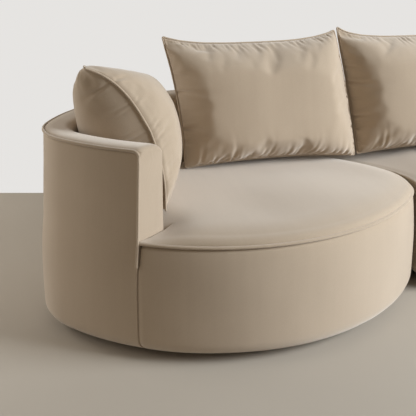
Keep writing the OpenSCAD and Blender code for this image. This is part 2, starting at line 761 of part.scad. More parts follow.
module side_pillow(what) {
    placed() translate([pillow_at[0], pillow_at[1], rest_z(pillow_lean)])
        rotate([0, 0, pillow_turn + 90]) rotate([-pillow_lean, 0, 0])
            cushion_part(pillow_w, pillow_h, 0, pillow_crown, pillow_crown, what);
}

module left_base_board() { base_board(left_frame_plan(hoop_out), left_feet_at); }
module left_hoop() { hoop(left_frame_plan(hoop_out), left_frame_plan(hoop_in), left_bolts_at); }

// The ribs keep clear of the inner ends of the bolts
rib_clear = 32;
left_rib_x = 230;
left_rear_rib_y = oval_back_d - 360;
module left_ribs() {
    ribs(left_frame_plan(hoop_in + fit), [left_bolts_at[4][1] + rib_clear, left_rear_rib_y],
        [-left_rib_x, left_rib_x]);
}
module left_seat_ring() {
    seat_ring(left_frame_plan(hoop_in + fit), left_frame_plan(hoop_in + ring_w));
}
module left_webbing() {
    webbing(left_frame_plan(hoop_in + ring_w - strap_hold), 200 - oval_half_w, oval_half_w - 200,
        150 - oval_front_d, oval_back_d - 200);
}
module left_seat_foam() {
    seat_foam(left_seat_plan(ply_in + fit, fit),
        left_seat_plan(seam_inset + band_d, band_d + fit, band_d + fit),
        left_crown_plan(cover_t + fit), left_seat_c);
}
module left_seat_cover() {
    seat_cover(left_crown_plan(0), left_crown_plan(cover_t), left_seat_c);
}
module left_seat_welt() {
    seat_welt(left_seat_plan(seam_inset - 2, fit),
        left_seat_plan(seam_inset + band_d - fit, band_d, band_d));
}
module left_side_pad() { side_pad(left_front_path(-cover_t + seam_gap)); }
module left_side_cover() { side_cover(left_front_path(-cover_t + seam_gap)); }
module left_dust_cover() { dust_cover(left_frame_plan(dust_inset), left_feet_at); }
module left_feet() { foot_parts(left_feet_at, "foot"); }
module left_glides() { foot_parts(left_feet_at, "glide"); }
module left_foot_bolts() { foot_parts(left_feet_at, "bolt"); }
module left_wall_ply() {
    wall_ply(left_wall_path(25))
        wall_bolt_set(left_bolts_at, wall_bolt_d + thread_slack, bolt_hole_spare);
}
module left_wall_pad() { wall_pad(left_wall_path(cover_t + fit), foam_z); }
module left_wall_outer_cover() { wall_outer_cover(left_wall_path(cover_t + fit)); }
module left_wall_top_band() { wall_top_band(left_wall_path(cover_t + fit)); }
module left_wall_end_panels() {
    path = left_wall_path(0);
    inner = left_wall_path(cover_t);
    wall_end_panel([path[0], inner[0]]);
    wall_end_panel([inner[len(inner) - 1], path[len(path) - 1]]);
}
module left_wall_piping() { wall_piping(left_wall_path(cover_t + fit)); }
module left_wall_bolts() { wall_bolts(left_bolts_at); }

module right_base_board() { base_board(right_frame_plan(hoop_out + nest_slack), right_feet_at); }
module right_hoop() {
    hoop(right_frame_plan(hoop_out + nest_slack), right_frame_plan(hoop_in + nest_slack),
        right_bolts_at);
}
module right_ribs() {
    ribs(right_frame_plan(hoop_in + nest_slack + fit), [right_bolts_at[4][1] - 60],
        [right_bolts_at[0][0] + 200, right_bolts_at[2][0] - 80]);
}
module right_seat_ring() {
    seat_ring(right_frame_plan(hoop_in + nest_slack + fit), right_frame_plan(hoop_in + ring_w));
}
module right_webbing() {
    webbing(right_frame_plan(hoop_in + ring_w - strap_hold), right_back_x + 200, right_end_x - 160,
        140 - right_front_d, oval_back_d - 130);
}
module right_seat_foam() {
    seat_foam(right_seat_plan(ply_in + fit, fit),
        right_seat_plan(seam_inset + band_d, band_d + fit, band_d + fit),
        right_crown_plan(cover_t + fit), right_seat_c);
}
module right_seat_cover() {
    seat_cover(right_crown_plan(0), right_crown_plan(cover_t), right_seat_c);
}
module right_seat_welt() {
    seat_welt(right_seat_plan(seam_inset - 2, fit),
        right_seat_plan(seam_inset + band_d - fit, band_d, band_d));
}
module right_side_pad() { side_pad(right_front_path(-cover_t + seam_gap)); }
module right_side_cover() { side_cover(right_front_path(-cover_t + seam_gap)); }
module right_dust_cover() { dust_cover(right_frame_plan(dust_inset), right_feet_at); }
module right_feet() { foot_parts(right_feet_at, "foot"); }
module right_glides() { foot_parts(right_feet_at, "glide"); }
module right_foot_bolts() { foot_parts(right_feet_at, "bolt"); }
module right_wall_ply() {
    wall_ply(right_wall_path(25))
        wall_bolt_set(right_bolts_at, wall_bolt_d + thread_slack, bolt_hole_spare);
}

// The arm's pad ends at the corner, where the back's pad goes on
right_pad_split = 2;
module right_arm_pad() {
    path = right_wall_path(cover_t + fit);
    p = path[right_pad_split];
    wall_pad(concat([for (i = [0 : right_pad_split - 1]) path[i]],
        [[p[0], p[1] - fit, p[2], p[3]]]), seat_seam_z + fit);
}
module right_back_pad() {
    wall_pad(from_point(right_wall_path(cover_t + fit), right_pad_split), seat_seam_z + fit);
}
module right_wall_outer_cover() { wall_outer_cover(right_wall_path(cover_t + fit)); }
module right_wall_top_band() { wall_top_band(right_wall_path(cover_t + fit)); }
module right_wall_end_panels() {
    path = right_wall_path(0);
    inner = right_wall_path(cover_t);
    wall_end_panel([path[0], inner[0]]);
    wall_end_panel([inner[len(inner) - 1], path[len(path) - 1]]);
}
module right_wall_piping() { wall_piping(right_wall_path(cover_t + fit)); }
module right_wall_bolts() { wall_bolts(right_bolts_at); }

left_base_board();
left_hoop();
left_ribs();
left_seat_ring();
left_webbing();
left_seat_foam();
left_seat_cover();
left_seat_welt();
left_side_pad();
left_side_cover();
left_dust_cover();
left_feet();
left_glides();
left_foot_bolts();
left_wall_ply();
left_wall_pad();
left_wall_outer_cover();
left_wall_top_band();
left_wall_end_panels();
left_wall_piping();
left_wall_bolts();
right_base_board();
right_hoop();
right_ribs();
right_seat_ring();
right_webbing();
right_seat_foam();
right_seat_cover();
right_seat_welt();
right_side_pad();
right_side_cover();
right_dust_cover();
right_feet();
right_glides();
right_foot_bolts();
right_wall_ply();
right_arm_pad();
right_back_pad();
right_wall_outer_cover();
right_wall_top_band();
right_wall_end_panels();
right_wall_piping();
right_wall_bolts();
connector_plates();
connector_screws();
left_cushion("insert");  // left_cushion_insert
left_cushion("cover");  // left_cushion_cover
left_cushion("welt");  // left_cushion_welt
left_cushion("zip");  // left_cushion_zip
right_cushion("insert");  // right_cushion_insert
right_cushion("cover");  // right_cushion_cover
right_cushion("welt");  // right_cushion_welt
right_cushion("zip");  // right_cushion_zip
side_pillow("insert");  // side_pillow_insert
side_pillow("cover");  // side_pillow_cover
side_pillow("welt");  // side_pillow_welt
side_pillow("zip");  // side_pillow_zip
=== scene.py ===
"""Looks of a settee: an oval unit with a wrap-round arm, nested against a straight one."""

import math
import random
from typing import NamedTuple

import bpy
import numpy as np
from mathutils import Matrix, Vector, noise


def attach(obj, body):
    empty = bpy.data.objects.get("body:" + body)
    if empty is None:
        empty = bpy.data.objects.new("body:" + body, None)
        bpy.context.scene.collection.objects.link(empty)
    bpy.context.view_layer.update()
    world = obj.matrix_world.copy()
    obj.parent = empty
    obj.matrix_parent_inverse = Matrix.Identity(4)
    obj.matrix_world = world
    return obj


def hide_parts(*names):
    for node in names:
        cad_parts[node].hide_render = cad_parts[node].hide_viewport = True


bl_info = {
    "name": "Nested oval settee",
    "version": (1, 0, 0),
    "blender": (4, 5, 0),
    "location": "View3D > Sidebar > Settee",
    "description": "Upholstery, cushions and cloth of a settee round its frame",
    "category": "Add Mesh",
}

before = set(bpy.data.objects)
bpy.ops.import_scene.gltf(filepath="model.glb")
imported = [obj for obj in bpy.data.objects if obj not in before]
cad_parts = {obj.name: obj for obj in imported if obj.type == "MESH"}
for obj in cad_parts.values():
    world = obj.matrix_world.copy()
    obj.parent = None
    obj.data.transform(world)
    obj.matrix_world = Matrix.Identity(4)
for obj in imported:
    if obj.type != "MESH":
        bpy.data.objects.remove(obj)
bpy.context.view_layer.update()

# Clearance between pieces that lie on each other
GAP = 0.0003
# Longest stretch between two points of a path
STEP = 0.011
# Steps of a path over which the direction of its end is measured
END_STEPS = 7
# Outer and inner side of the plywood that the covers are fixed to, from the outline
WALL_PLY_OUT, WALL_PLY_IN = 0.0394, 0.0520
SIDE_PLY = 0.0517
# Thickness of a cover where it is turned in under the frame
UNDER_T = 0.004
# How far the seat's welt stands above the seam
WELT_LIFT = 0.0009
# How far the centre of the walls' piping lies below their top, out from their top edge, and
# out from their side where it runs down their ends
PIPING_DROP, PIPING_OUT, PIPING_END_OUT = 0.009, 0.001, 0.0022
# Height where the piping on a wall's end starts
PIPING_FOOT = 0.318
# Length of a wall's closed end, and where its sections leave room for the plywood
CLOSED_END, OPEN_FROM = 0.021, 0.022
# The camera: its place, tilt and turn in degrees, its sensor's width and its lens
CAMERA_AT = (-1.154, -2.623, 1.348)
CAMERA_TILT, CAMERA_TURN = 77.34, -14.55
CAMERA_SENSOR, CAMERA_LENS, CAMERA_SHIFT = 36, 66.96, -0.25


def length(name, description, default):
    """A size of the settee."""
    return bpy.props.FloatProperty(
        name=name, description=description, default=default, min=0.0, unit="LENGTH"
    )


def number(name, description, default):
    """An angle, a slope or a share."""
    return bpy.props.FloatProperty(name=name, description=description, default=default)


def tint(name, description, default):
    """A colour."""
    return bpy.props.FloatVectorProperty(
        name=name, description=description, subtype="COLOR", size=3, min=0, max=1, default=default
    )


class SetteeShape(bpy.types.PropertyGroup):
    """Sizes of the upholstery, the same as the frame's"""

    half_w: length("Oval half width", "Half width of the oval unit", 0.70)
    front_d: length("Oval front depth", "Depth in front of the oval's centre", 0.48)
    back_d: length("Oval back depth", "Depth behind the oval's centre", 0.55)
    end_r: length("Oval end radius", "Radius of the oval's two ends", 0.26)
    right_x: length("Right end", "From the oval's centre to the right arm", 1.46)
    right_front_d: length("Straight front depth", "Depth of the straight unit's front", 0.20)
    right_back_x: length("Straight back start", "Where the straight back wall starts", 0.44)
    right_setback: length("Right arm setback", "How far the right arm ends behind the front", 0.15)
    nest_r: length("Nested corner", "Radius of the nested front corner", 0.15)
    corner_r: length("Front corner", "Radius of the free front corner", 0.12)
    back_r: length("Back corner", "Radius of the back corner", 0.20)
    unit_gap: length("Unit gap", "Gap between the two units", 0.008)
    floor_gap: length("Floor gap", "Underside above the floor", 0.022)
    seam_z: length("Seat seam", "Height of the seam under the seat", 0.388)
    seat_z: length("Seat height", "Height of the flat middle of the seat", 0.434)
    top_z: length("Wall height", "Top of the arms and back walls", 0.70)
    belly_z: length("Belly height", "Height where the side bulges most", 0.215)
    wall_t: length("Wall thickness", "Thickness of the arm and back walls", 0.126)
    edge_r: length("Lower edge", "Radius of the rounded lower edge", 0.054)
    turn_under: length("Turn under", "How far the cover turns in under the frame", 0.084)
    lower_in: length("Lower inset", "Inset of the lower side", 0.001)
    seam_in: length("Seam inset", "Inset of the seat seam", 0.011)
    top_in: length("Top inset", "Inset of the walls' top edge", 0.024)
    soft_r: length("Soft edge", "Radius of the walls' inner top edge", 0.034)
    end_round: length("Arm end edge", "Radius of the arm's top front edge", 0.018)
    welt_h: length("Seat welt height", "Height of the welt round the seat", 0.011)
    piping_r: length("Piping radius", "Radius of the piping on the walls", 0.0048)
    arm_end: number("Arm end", "Where the left arm ends, in degrees", 238.1)
    back_end: number("Back end", "Where the oval's back ends, in degrees", 60.0)
    arm_slope: number("Arm face slope", "How far the arm's end face turns", 0.42)


class SetteeCushions(bpy.types.PropertyGroup):
    """Sizes and make of the loose cushions"""

    left_w: length("Left cushion width", "Width of the left back cushion", 0.728)
    right_w: length("Right cushion width", "Width of the right back cushion", 0.7215)
    back_h: length("Back cushion height", "Height of a back cushion", 0.522)
    crown_front: length("Front crown", "How far a back cushion's front swells", 0.105)
    crown_rear: length("Rear crown", "How far a back cushion's rear swells", 0.040)
    pillow_w: length("Pillow width", "Width of the side pillow", 0.400)
    pillow_h: length("Pillow height", "Height of the side pillow", 0.525)
    pillow_crown: length("Pillow crown", "Mean swell of the side pillow's two faces", 0.135)
    welt: length("Cushion welt", "Thickness of the cushions' welt", 0.007)
    pucker: number("Pucker depth", "Depth of a gather for its width", 1.0)
    cap: length("Swell cap", "Most that the cloth may move as it swells", 0.024)
    lean: number("Lean", "How far the back cushions lean, in degrees", 11.0)
    slump: number("Slump", "How far the back cushions slump sideways", -0.132)
    pillow_lean: number("Pillow lean", "How far the side pillow leans, in degrees", 28.0)
    pillow_turn: number("Pillow turn", "How far the side pillow turns, in degrees", -9.0)
    pressure: number("Filling", "Pressure of the filling", 4.0)


class SetteeColours(bpy.types.PropertyGroup):
    """Colours of the cloth, the hidden frame and the room"""

    cloth: tint("Cloth", "Taupe brushed cloth", (0.440, 0.344, 0.248))
    cloth_deep: tint("Cloth shade", "Cloth where its nap lies dark", (0.378, 0.290, 0.204))
    cloth_lit: tint("Cloth light", "Cloth where its nap lies light", (0.500, 0.398, 0.294))
    plywood: tint("Plywood", "Bare birch plywood", (0.62, 0.43, 0.24))
    webbing: tint("Webbing", "Elastic webbing", (0.55, 0.48, 0.36))
    underlining: tint("Underlining", "Black cloth under the seat", (0.012, 0.012, 0.012))
    zinc: tint("Zinc", "Plated steel", (0.55, 0.56, 0.58))
    black: tint("Black plastic", "Feet and glides", (0.015, 0.015, 0.015))
    zip_tape: tint("Zip", "Zip and its tape", (0.24, 0.19, 0.14))
    floor: tint("Floor", "Plain pale floor", (0.475, 0.428, 0.366))
    wall: tint("Wall", "Plain pale wall", (0.86, 0.85, 0.83))
    backdrop: tint("Backdrop", "How pale the wall looks to the camera", (0.79, 0.775, 0.755))


def shape():
    return bpy.context.scene.settee_shape


def stuffing():
    return bpy.context.scene.settee_cushions


def colours():
    return bpy.context.scene.settee_colours


def middle():
    """The frame's origin, from the oval's centre."""
    s = shape()
    return np.array([(s.right_x - s.half_w) / 2, (s.back_d - s.front_d) / 2])


class Oval:
    """Centres, radii and joining angles of the oval's four arcs."""

    def __init__(self):
        s = shape()
        self.end_x = s.half_w - s.end_r
        self.front_r = self.arc_radius(s.front_d)
        self.back_r = self.arc_radius(s.back_d)
        self.front_c = (0.0, self.front_r - s.front_d)
        self.back_c = (0.0, s.back_d - self.back_r)
        self.front_join = math.degrees(math.atan(self.front_c[1] / self.end_x))
        self.back_join = math.degrees(math.atan(-self.back_c[1] / self.end_x))

    def arc_radius(self, depth):
        """Radius of a long arc that passes into the ends' arcs without a corner."""
        end_r = shape().end_r
        return (self.end_x**2 + depth**2 - end_r**2) / (2 * (depth - end_r))


def arc(centre, r, start, end, side=1):
    """Points on an arc and the outward direction at each."""
    n = max(2, math.ceil(abs(math.radians(end - start)) * r / STEP))
    t = np.radians(np.linspace(start, end, n + 1))
    out = np.stack([np.cos(t), np.sin(t)], 1)
    return np.array(centre) + r * out, side * out


def line(a, b, na, nb=None):
    """Points on a straight stretch, with directions that turn evenly from na to nb."""
    a, b, na = np.array(a, float), np.array(b, float), np.array(na, float)
    nb = na if nb is None else np.array(nb, float)
    n = max(2, math.ceil(np.linalg.norm(b - a) / STEP))
    t = np.linspace(0, 1, n + 1)[:, None]
    return a + (b - a) * t, na + (nb - na) * t


def joined(*stretches):
    """One path from stretches that meet end to end."""
    p, n = stretches[0]
    for q, m in stretches[1:]:
        p, n = np.concatenate([p, q[1:]]), np.concatenate([n, m[1:]])
    return p, n


def run_of(p):
    """Length along a path at each of its points."""
    return np.concatenate([[0], np.cumsum(np.linalg.norm(np.diff(p, axis=0), axis=1))])


def heading(a, b):
    """The direction from a to b."""
    return (b - a) / np.linalg.norm(b - a)


def slanted(path, reach, at_end):
    """Turns the directions over the last reach of one end, so that its end face slants."""
    p, n = path
    run = run_of(p)
    if at_end:
        from_end, u = run[-1] - run, heading(p[-1 - END_STEPS], p[-1])
    else:
        from_end, u = run, heading(p[0], p[END_STEPS])
    f = np.clip(1 - from_end / reach, 0, 1)[:, None]
    return p, n - shape().arm_slope * f * u


def left_wall_path():
    s, o = shape(), Oval()
    path = joined(
        arc(o.back_c, o.back_r, s.back_end, 180 - o.back_join),
        arc((-o.end_x, 0), s.end_r, 180 - o.back_join, 180 + o.front_join),
        arc(o.front_c, o.front_r, 180 + o.front_join, s.arm_end),
    )
    return slanted(path, reach=0.078, at_end=True)


def left_front_path():
    s, o = shape(), Oval()
    path = joined(
        arc(o.front_c, o.front_r, s.arm_end, 360 - o.front_join),
        arc((o.end_x, 0), s.end_r, -o.front_join, o.back_join),
        arc(o.back_c, o.back_r, o.back_join, s.back_end),
    )
    return slanted(path, reach=0.090, at_end=False)


def right_wall_path():
    s = shape()
    x, y, r = s.right_x, s.back_d, s.back_r
    return joined(
        line((x, s.right_setback - s.right_front_d), (x, y - r), (1, 0)),
        arc((x - r, y - r), r, 0, 90),
        line((x - r, y), (s.right_back_x, y), (0, 1)),
    )


def right_front_path():
    """From the back wall's start round the nested corner and the free one to the right arm."""
    s, o = shape(), Oval()
    start_in, mitre_reach = 0.062, 0.08
    back, end = o.back_r + s.unit_gap, s.end_r + s.unit_gap
    top = math.acos(s.right_back_x / back)
    mitre = (-1, -math.tan(top / 2))
    front_y = -s.right_front_d
    nest_y = s.nest_r - s.right_front_d
    nest_x = o.end_x + math.sqrt((end + s.nest_r) ** 2 - nest_y**2)
    turn = math.degrees(math.atan2(nest_y, nest_x - o.end_x))
    first = (s.right_back_x, s.back_d - start_in)
    corner = (s.right_back_x, o.back_c[1] + back * math.sin(top))
    nest, out = arc(o.back_c, back, math.degrees(top), o.back_join, -1)
    ease = np.clip(1 - run_of(nest) / mitre_reach, 0, 1)[:, None]
    return joined(
        line(first, corner, (-1, 0.5), mitre),
        (nest, out * (1 - ease) + np.array(mitre) * ease),
        arc((o.end_x, 0), end, o.back_join, turn, -1),
        arc((nest_x, nest_y), s.nest_r, 180 + turn, 270),
        line((nest_x, front_y), (s.right_x - s.corner_r, front_y), (0, -1)),
        arc((s.right_x - s.corner_r, s.corner_r + front_y), s.corner_r, -90, 0),
        line((s.right_x, s.corner_r + front_y), (s.right_x, s.right_setback + front_y), (1, 0)),
    )


def wall_path(side):
    """The outer outline of one unit's arm and back wall."""
    return left_wall_path() if side == "left" else right_wall_path()


def front_path(side):
    """The outline of one unit's free sides, between the ends of its walls."""
    return left_front_path() if side == "left" else right_front_path()


def path_at(path, distance):
    """Points and directions of a path at distances from its start."""
    run = run_of(path[0])
    return [np.stack([np.interp(distance, run, part[:, i]) for i in (0, 1)], -1) for part in path]


def inset(path, distance, d):
    """Points of a path at distances from its start, moved in by d."""
    p, n = path_at(path, distance)
    return p - d * n


def side_inset(z):
    """How far in the side lies at a height."""
    s = shape()
    low = s.floor_gap + s.edge_r
    if z < s.belly_z:
        return s.lower_in * ((s.belly_z - z) / (s.belly_z - low)) ** 2
    if z < s.seam_z:
        return s.seam_in * ((z - s.belly_z) / (s.seam_z - s.belly_z)) ** 2
    return s.seam_in + (s.top_in - s.seam_in) * (z - s.seam_z) / (s.top_z - s.seam_z)


def tucked(points, z_end, reach, depth):
    """Draws a panel in over its last stretch, where it is sewn into a seam."""
    return [[d + depth * max(0.0, 1 - (z_end - z) / reach) ** 2, z] for d, z in points]


def lower_contour():
    """The cover from under the frame round its lower edge."""
    s = shape()
    return [[s.turn_under, s.floor_gap]] + [
        [s.lower_in + s.edge_r * (1 - math.sin(t)), s.floor_gap + s.edge_r * (1 - math.cos(t))]
        for t in map(math.radians, range(0, 91, 9))
    ]


def under_end():
    """Where a cover ends under the frame, on its inner side."""
    s = shape()
    return [s.turn_under, s.floor_gap + UNDER_T]


def heights(low, high, step=0.022, tight=0.012):
    """Heights of a panel's rows, close together near its upper seam."""
    even = np.linspace(low, high - tight, max(3, round((high - low) / step)))[1:]
    return list(even) + [high - tight * f for f in (0.75, 0.5, 0.3, 0.15, 0.0)]


def outer_contour(seam, reach, depth):
    """The outer side of a panel from under the frame up to a seam."""
    s = shape()
    rows = [[side_inset(z), z] for z in heights(s.floor_gap + s.edge_r, seam)]
    return tucked(lower_contour() + rows, seam, reach, depth)


def wall_contour():
    """The wall's cover from under the frame over its top and down its inner face."""
    s = shape()
    outer = outer_contour(s.top_z - PIPING_DROP - s.piping_r, reach=0.010, depth=0.004)
    start, flat = s.top_in + s.piping_r - PIPING_OUT, s.wall_t - s.soft_r
    flat_from, fall, above_seam = start + 0.024, 0.002, 0.0125
    beside_piping = ((-0.0005, 0.0085), (0.0025, 0.0055), (0.007, 0.0030), (0.014, 0.0012))
    top = [[start + d, s.top_z - down] for d, down in beside_piping]
    top += [[d, s.top_z - fall * ((d - start) / (flat - start)) ** 3]
            for d in np.linspace(flat_from, flat, 5)]
    top += [[s.wall_t - s.soft_r * (1 - math.sin(t)), s.top_z - fall - s.soft_r * (1 - math.cos(t))]
            for t in np.radians(np.arange(15, 91, 15))]
    inner = [[s.wall_t, z] for z in np.linspace(top[-1][1], s.seam_z + above_seam, 12)[1:]]
    return np.array(outer + top + inner), len(outer)


def add_mesh(name, verts, faces, uv):
    mesh = bpy.data.meshes.new(name)
    mesh.from_pydata([tuple(v) for v in verts], [], faces)
    mesh.update()
    obj = bpy.data.objects.new(name, mesh)
    bpy.context.scene.collection.objects.link(obj)
    layer = mesh.uv_layers.new(name="weave")
    loops = np.zeros(len(mesh.loops), np.int32)
    mesh.loops.foreach_get("vertex_index", loops)
    layer.data.foreach_set("uv", np.asarray(uv, np.float32)[loops].ravel())
    return obj


def bands(rings, m, closed=False):
    """Quads between neighbouring rings of m points each."""
    faces = []
    for k in range(rings if closed else rings - 1):
        a, b = k * m, (k + 1) % rings * m
        for i in range(m):
            j = (i + 1) % m
            faces.append((a + i, a + j, b + j, b + i))
    return faces


def select_only(obj):
    bpy.ops.object.select_all(action="DESELECT")
    obj.select_set(True)
    bpy.context.view_layer.objects.active = obj


def smoothed(obj, angle=50.0):
    """Outward faces and soft shading, with creases kept past an angle."""
    select_only(obj)
    bpy.ops.object.mode_set(mode="EDIT")
    bpy.ops.mesh.select_all(action="SELECT")
    bpy.ops.mesh.normals_make_consistent(inside=False)
    bpy.ops.object.mode_set(mode="OBJECT")
    bpy.ops.object.shade_smooth_by_angle(angle=math.radians(angle), keep_sharp_edges=False)


def sweep(name, path, rows):
    """A closed body with its cross sections, rows of [inset, height], along a path."""
    p, n = path
    count, m = len(p), rows.shape[1]
    verts = np.zeros((count, m, 3))
    verts[:, :, :2] = p[:, None, :] - rows[:, :, :1] * n[:, None, :] - middle()
    verts[:, :, 2] = rows[:, :, 1]
    along = np.repeat(run_of(p)[:, None], m, 1)
    up = np.repeat(run_of(rows[count // 2])[None], count, 0)
    faces = [(a, d, c, b) for a, b, c, d in bands(count, m)]
    faces.append(tuple(range(m)))
    faces.append(tuple(range(count * m - 1, (count - 1) * m - 1, -1)))
    return add_mesh(name, verts.reshape(-1, 3), faces, np.stack([along, up], 2).reshape(-1, 2))


def rolled(name, points, r, sides, across=None):
    """Cloth rolled round a cord: an open piping, or a closed one whose sides face across."""
    closed = across is not None
    points = np.asarray(points, float)
    count = len(points)
    if closed:
        tangent = np.roll(points, -1, 0) - np.roll(points, 1, 0)
    else:
        tangent = np.gradient(points, axis=0)
    tangent /= np.linalg.norm(tangent, axis=1)[:, None]
    verts, uv = [], []
    for point, t, far in zip(points, tangent, run_of(points)):
        a = across - t * np.dot(across, t) if closed else np.cross(t, [0, 0, 1.0])
        if np.linalg.norm(a) < 1e-6:
            a = np.cross(t, [1.0, 0, 0])
        a /= np.linalg.norm(a)
        b = np.cross(t, a)
        for i in range(sides):
            w = 2 * math.pi * i / sides
            verts.append(point + r * math.cos(w) * a + r * math.sin(w) * b)
            uv.append((far, r * w))
    faces = bands(count, sides, closed)
    if not closed:
        faces.append(tuple(range(sides - 1, -1, -1)))
        faces.append(tuple(range((count - 1) * sides, count * sides)))
    return add_mesh(name, verts, faces, uv)


def coordinates(obj):
    co = np.zeros(len(obj.data.vertices) * 3)
    obj.data.vertices.foreach_get("co", co)
    return co.reshape(-1, 3)


def set_coordinates(obj, co):
    obj.data.vertices.foreach_set("co", np.asarray(co, float).ravel())
    obj.data.update()


def normals(obj):
    nor = np.zeros(len(obj.data.vertices) * 3)
    obj.data.vertices.foreach_get("normal", nor)
    return nor.reshape(-1, 3)


def padded_unevenly(obj, depth, scale, seed, keep):
    """Lets the padding under a cover lie a little unevenly, by the share that keep gives."""
    co = coordinates(obj)
    move = np.array([noise.noise(Vector(c * scale) + Vector((seed, 0, 0))) for c in co])
    set_coordinates(obj, co + normals(obj) * (depth * (move * keep(co)))[:, None])


def finish_piece(obj, material, body, nodes):
    """Gives a piece its cloth and body, and hides the nodes whose place it takes."""
    obj.data.materials.clear()
    obj.data.materials.append(material)
    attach(obj, body)
    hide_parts(*nodes)


def finish_piping(obj, body, node):
    cloth = cloth_material("brushed_cloth_piping", slub=0.18, bump=0.08)
    finish_piece(obj, cloth, body, [node])


# Sockets of a Mix node that mixes colours
MIX_SHARE, MIX_FROM, MIX_TO, MIX_RESULT = 0, 6, 7, 2


def set_inputs(tree, node, inputs):
    """Sets each input, by name or number, to a value or links it to a socket."""
    for key, value in inputs.items():
        if isinstance(value, bpy.types.NodeSocket):
            tree.links.new(value, node.inputs[key])
        else:
            node.inputs[key].default_value = value


def add_node(tree, kind, inputs, **settings):
    """A new node with its settings and inputs."""
    node = tree.nodes.new(kind)
    for key, value in settings.items():
        setattr(node, key, value)
    set_inputs(tree, node, inputs)
    return node


def maths(tree, operation, a, b):
    """The result of a Math node on two values or sockets."""
    return add_node(tree, "ShaderNodeMath", {0: a, 1: b}, operation=operation).outputs[0]


def level(tree, value, low, high, to_low, to_high):
    """A value's range from low to high brought to another."""
    return add_node(tree, "ShaderNodeMapRange", {
        "Value": value, "From Min": low, "From Max": high, "To Min": to_low, "To Max": to_high,
    }).outputs["Result"]


def nap_group():
    """Colour, roughness and height of brushed woven cloth, read from the weave map."""
    tree = bpy.data.node_groups.get("brushed_cloth")
    if tree:
        return tree
    tree = bpy.data.node_groups.new("brushed_cloth", "ShaderNodeTree")
    for in_out, kind, names in (
        ("INPUT", "NodeSocketColor", ("Colour", "Dark nap", "Light nap")),
        ("INPUT", "NodeSocketFloat", ("Slub", "Thread")),
        ("OUTPUT", "NodeSocketColor", ("Colour",)),
        ("OUTPUT", "NodeSocketFloat", ("Roughness", "Height")),
    ):
        for name in names:
            tree.interface.new_socket(name=name, in_out=in_out, socket_type=kind)
    given = add_node(tree, "NodeGroupInput", {}).outputs
    weave = add_node(tree, "ShaderNodeUVMap", {}, uv_map="weave").outputs["UV"]

    def patches(scale, detail, rough=0.5):
        """Noise of so many patches to a metre each way, from -0.5 to 0.5."""
        place = add_node(tree, "ShaderNodeMapping", {"Vector": weave, "Scale": (*scale, 1)})
        made = add_node(tree, "ShaderNodeTexNoise", {
            "Vector": place.outputs["Vector"], "Scale": 1.0, "Detail": detail, "Roughness": rough,
        }, noise_dimensions="2D")
        return level(tree, made.outputs["Fac"], 0.3, 0.7, -0.5, 0.5)

    def total(a, b):
        return maths(tree, "ADD", a, b)

    def product(a, b):
        return maths(tree, "MULTIPLY", a, b)

    def towards(colour, other, share):
        return add_node(tree, "ShaderNodeMix", {
            MIX_FROM: colour, MIX_TO: other, MIX_SHARE: share,
        }, data_type="RGBA").outputs[MIX_RESULT]

    slub, brushed = patches((34, 2.0), 3), patches((5.5, 4.0), 4, 0.55)
    warp, weft = patches((1500, 90), 1), patches((90, 1500), 1)
    grain = patches((420, 420), 2)
    nap_share, thread_share, grain_share, grain_height, strongest = 0.20, 0.30, 0.22, 0.6, 0.6
    streaks = product(slub, given["Slub"])
    threads = product(total(warp, weft), given["Thread"])
    tone = total(total(streaks, product(brushed, nap_share)),
                 total(product(threads, thread_share), product(grain, grain_share)))
    colour = given["Colour"]
    for nap, end in (("Dark nap", -strongest), ("Light nap", strongest)):
        colour = towards(colour, given[nap], level(tree, tone, 0.0, end, 0.0, 1.0))
    add_node(tree, "NodeGroupOutput", {
        "Colour": colour,
        "Roughness": level(tree, total(streaks, grain), -strongest, strongest, 0.86, 0.97),
        "Height": total(threads, total(streaks, product(grain, grain_height))),
    })
    return tree


def new_material(name):
    """A new material with its node tree and shader."""
    material = bpy.data.materials.new(name)
    material.use_nodes = True
    return material, material.node_tree, material.node_tree.nodes["Principled BSDF"]


def relief(tree, height, strength, distance):
    """The normal of a surface with a fine relief."""
    return add_node(tree, "ShaderNodeBump", {
        "Height": height, "Strength": strength, "Distance": distance,
    }).outputs["Normal"]


def cloth_material(name, slub=0.10, bump=0.10):
    """The settee's one cloth, with slubs and relief of some strength."""
    material = bpy.data.materials.get(name)
    if material:
        return material
    c = colours()
    material, tree, shader = new_material(name)
    cloth = add_node(tree, "ShaderNodeGroup", {
        "Colour": (*c.cloth, 1), "Dark nap": (*c.cloth_deep, 1), "Light nap": (*c.cloth_lit, 1),
        "Slub": slub, "Thread": 0.4,
    }, node_tree=nap_group()).outputs
    set_inputs(tree, shader, {
        "Base Color": cloth["Colour"], "Roughness": cloth["Roughness"],
        "Normal": relief(tree, cloth["Height"], bump, 0.0006),
        "Specular IOR Level": 0.25, "Sheen Weight": 0.6, "Sheen Roughness": 0.6,
        "Sheen Tint": (1.0, 0.97, 0.93, 1),
    })
    return material


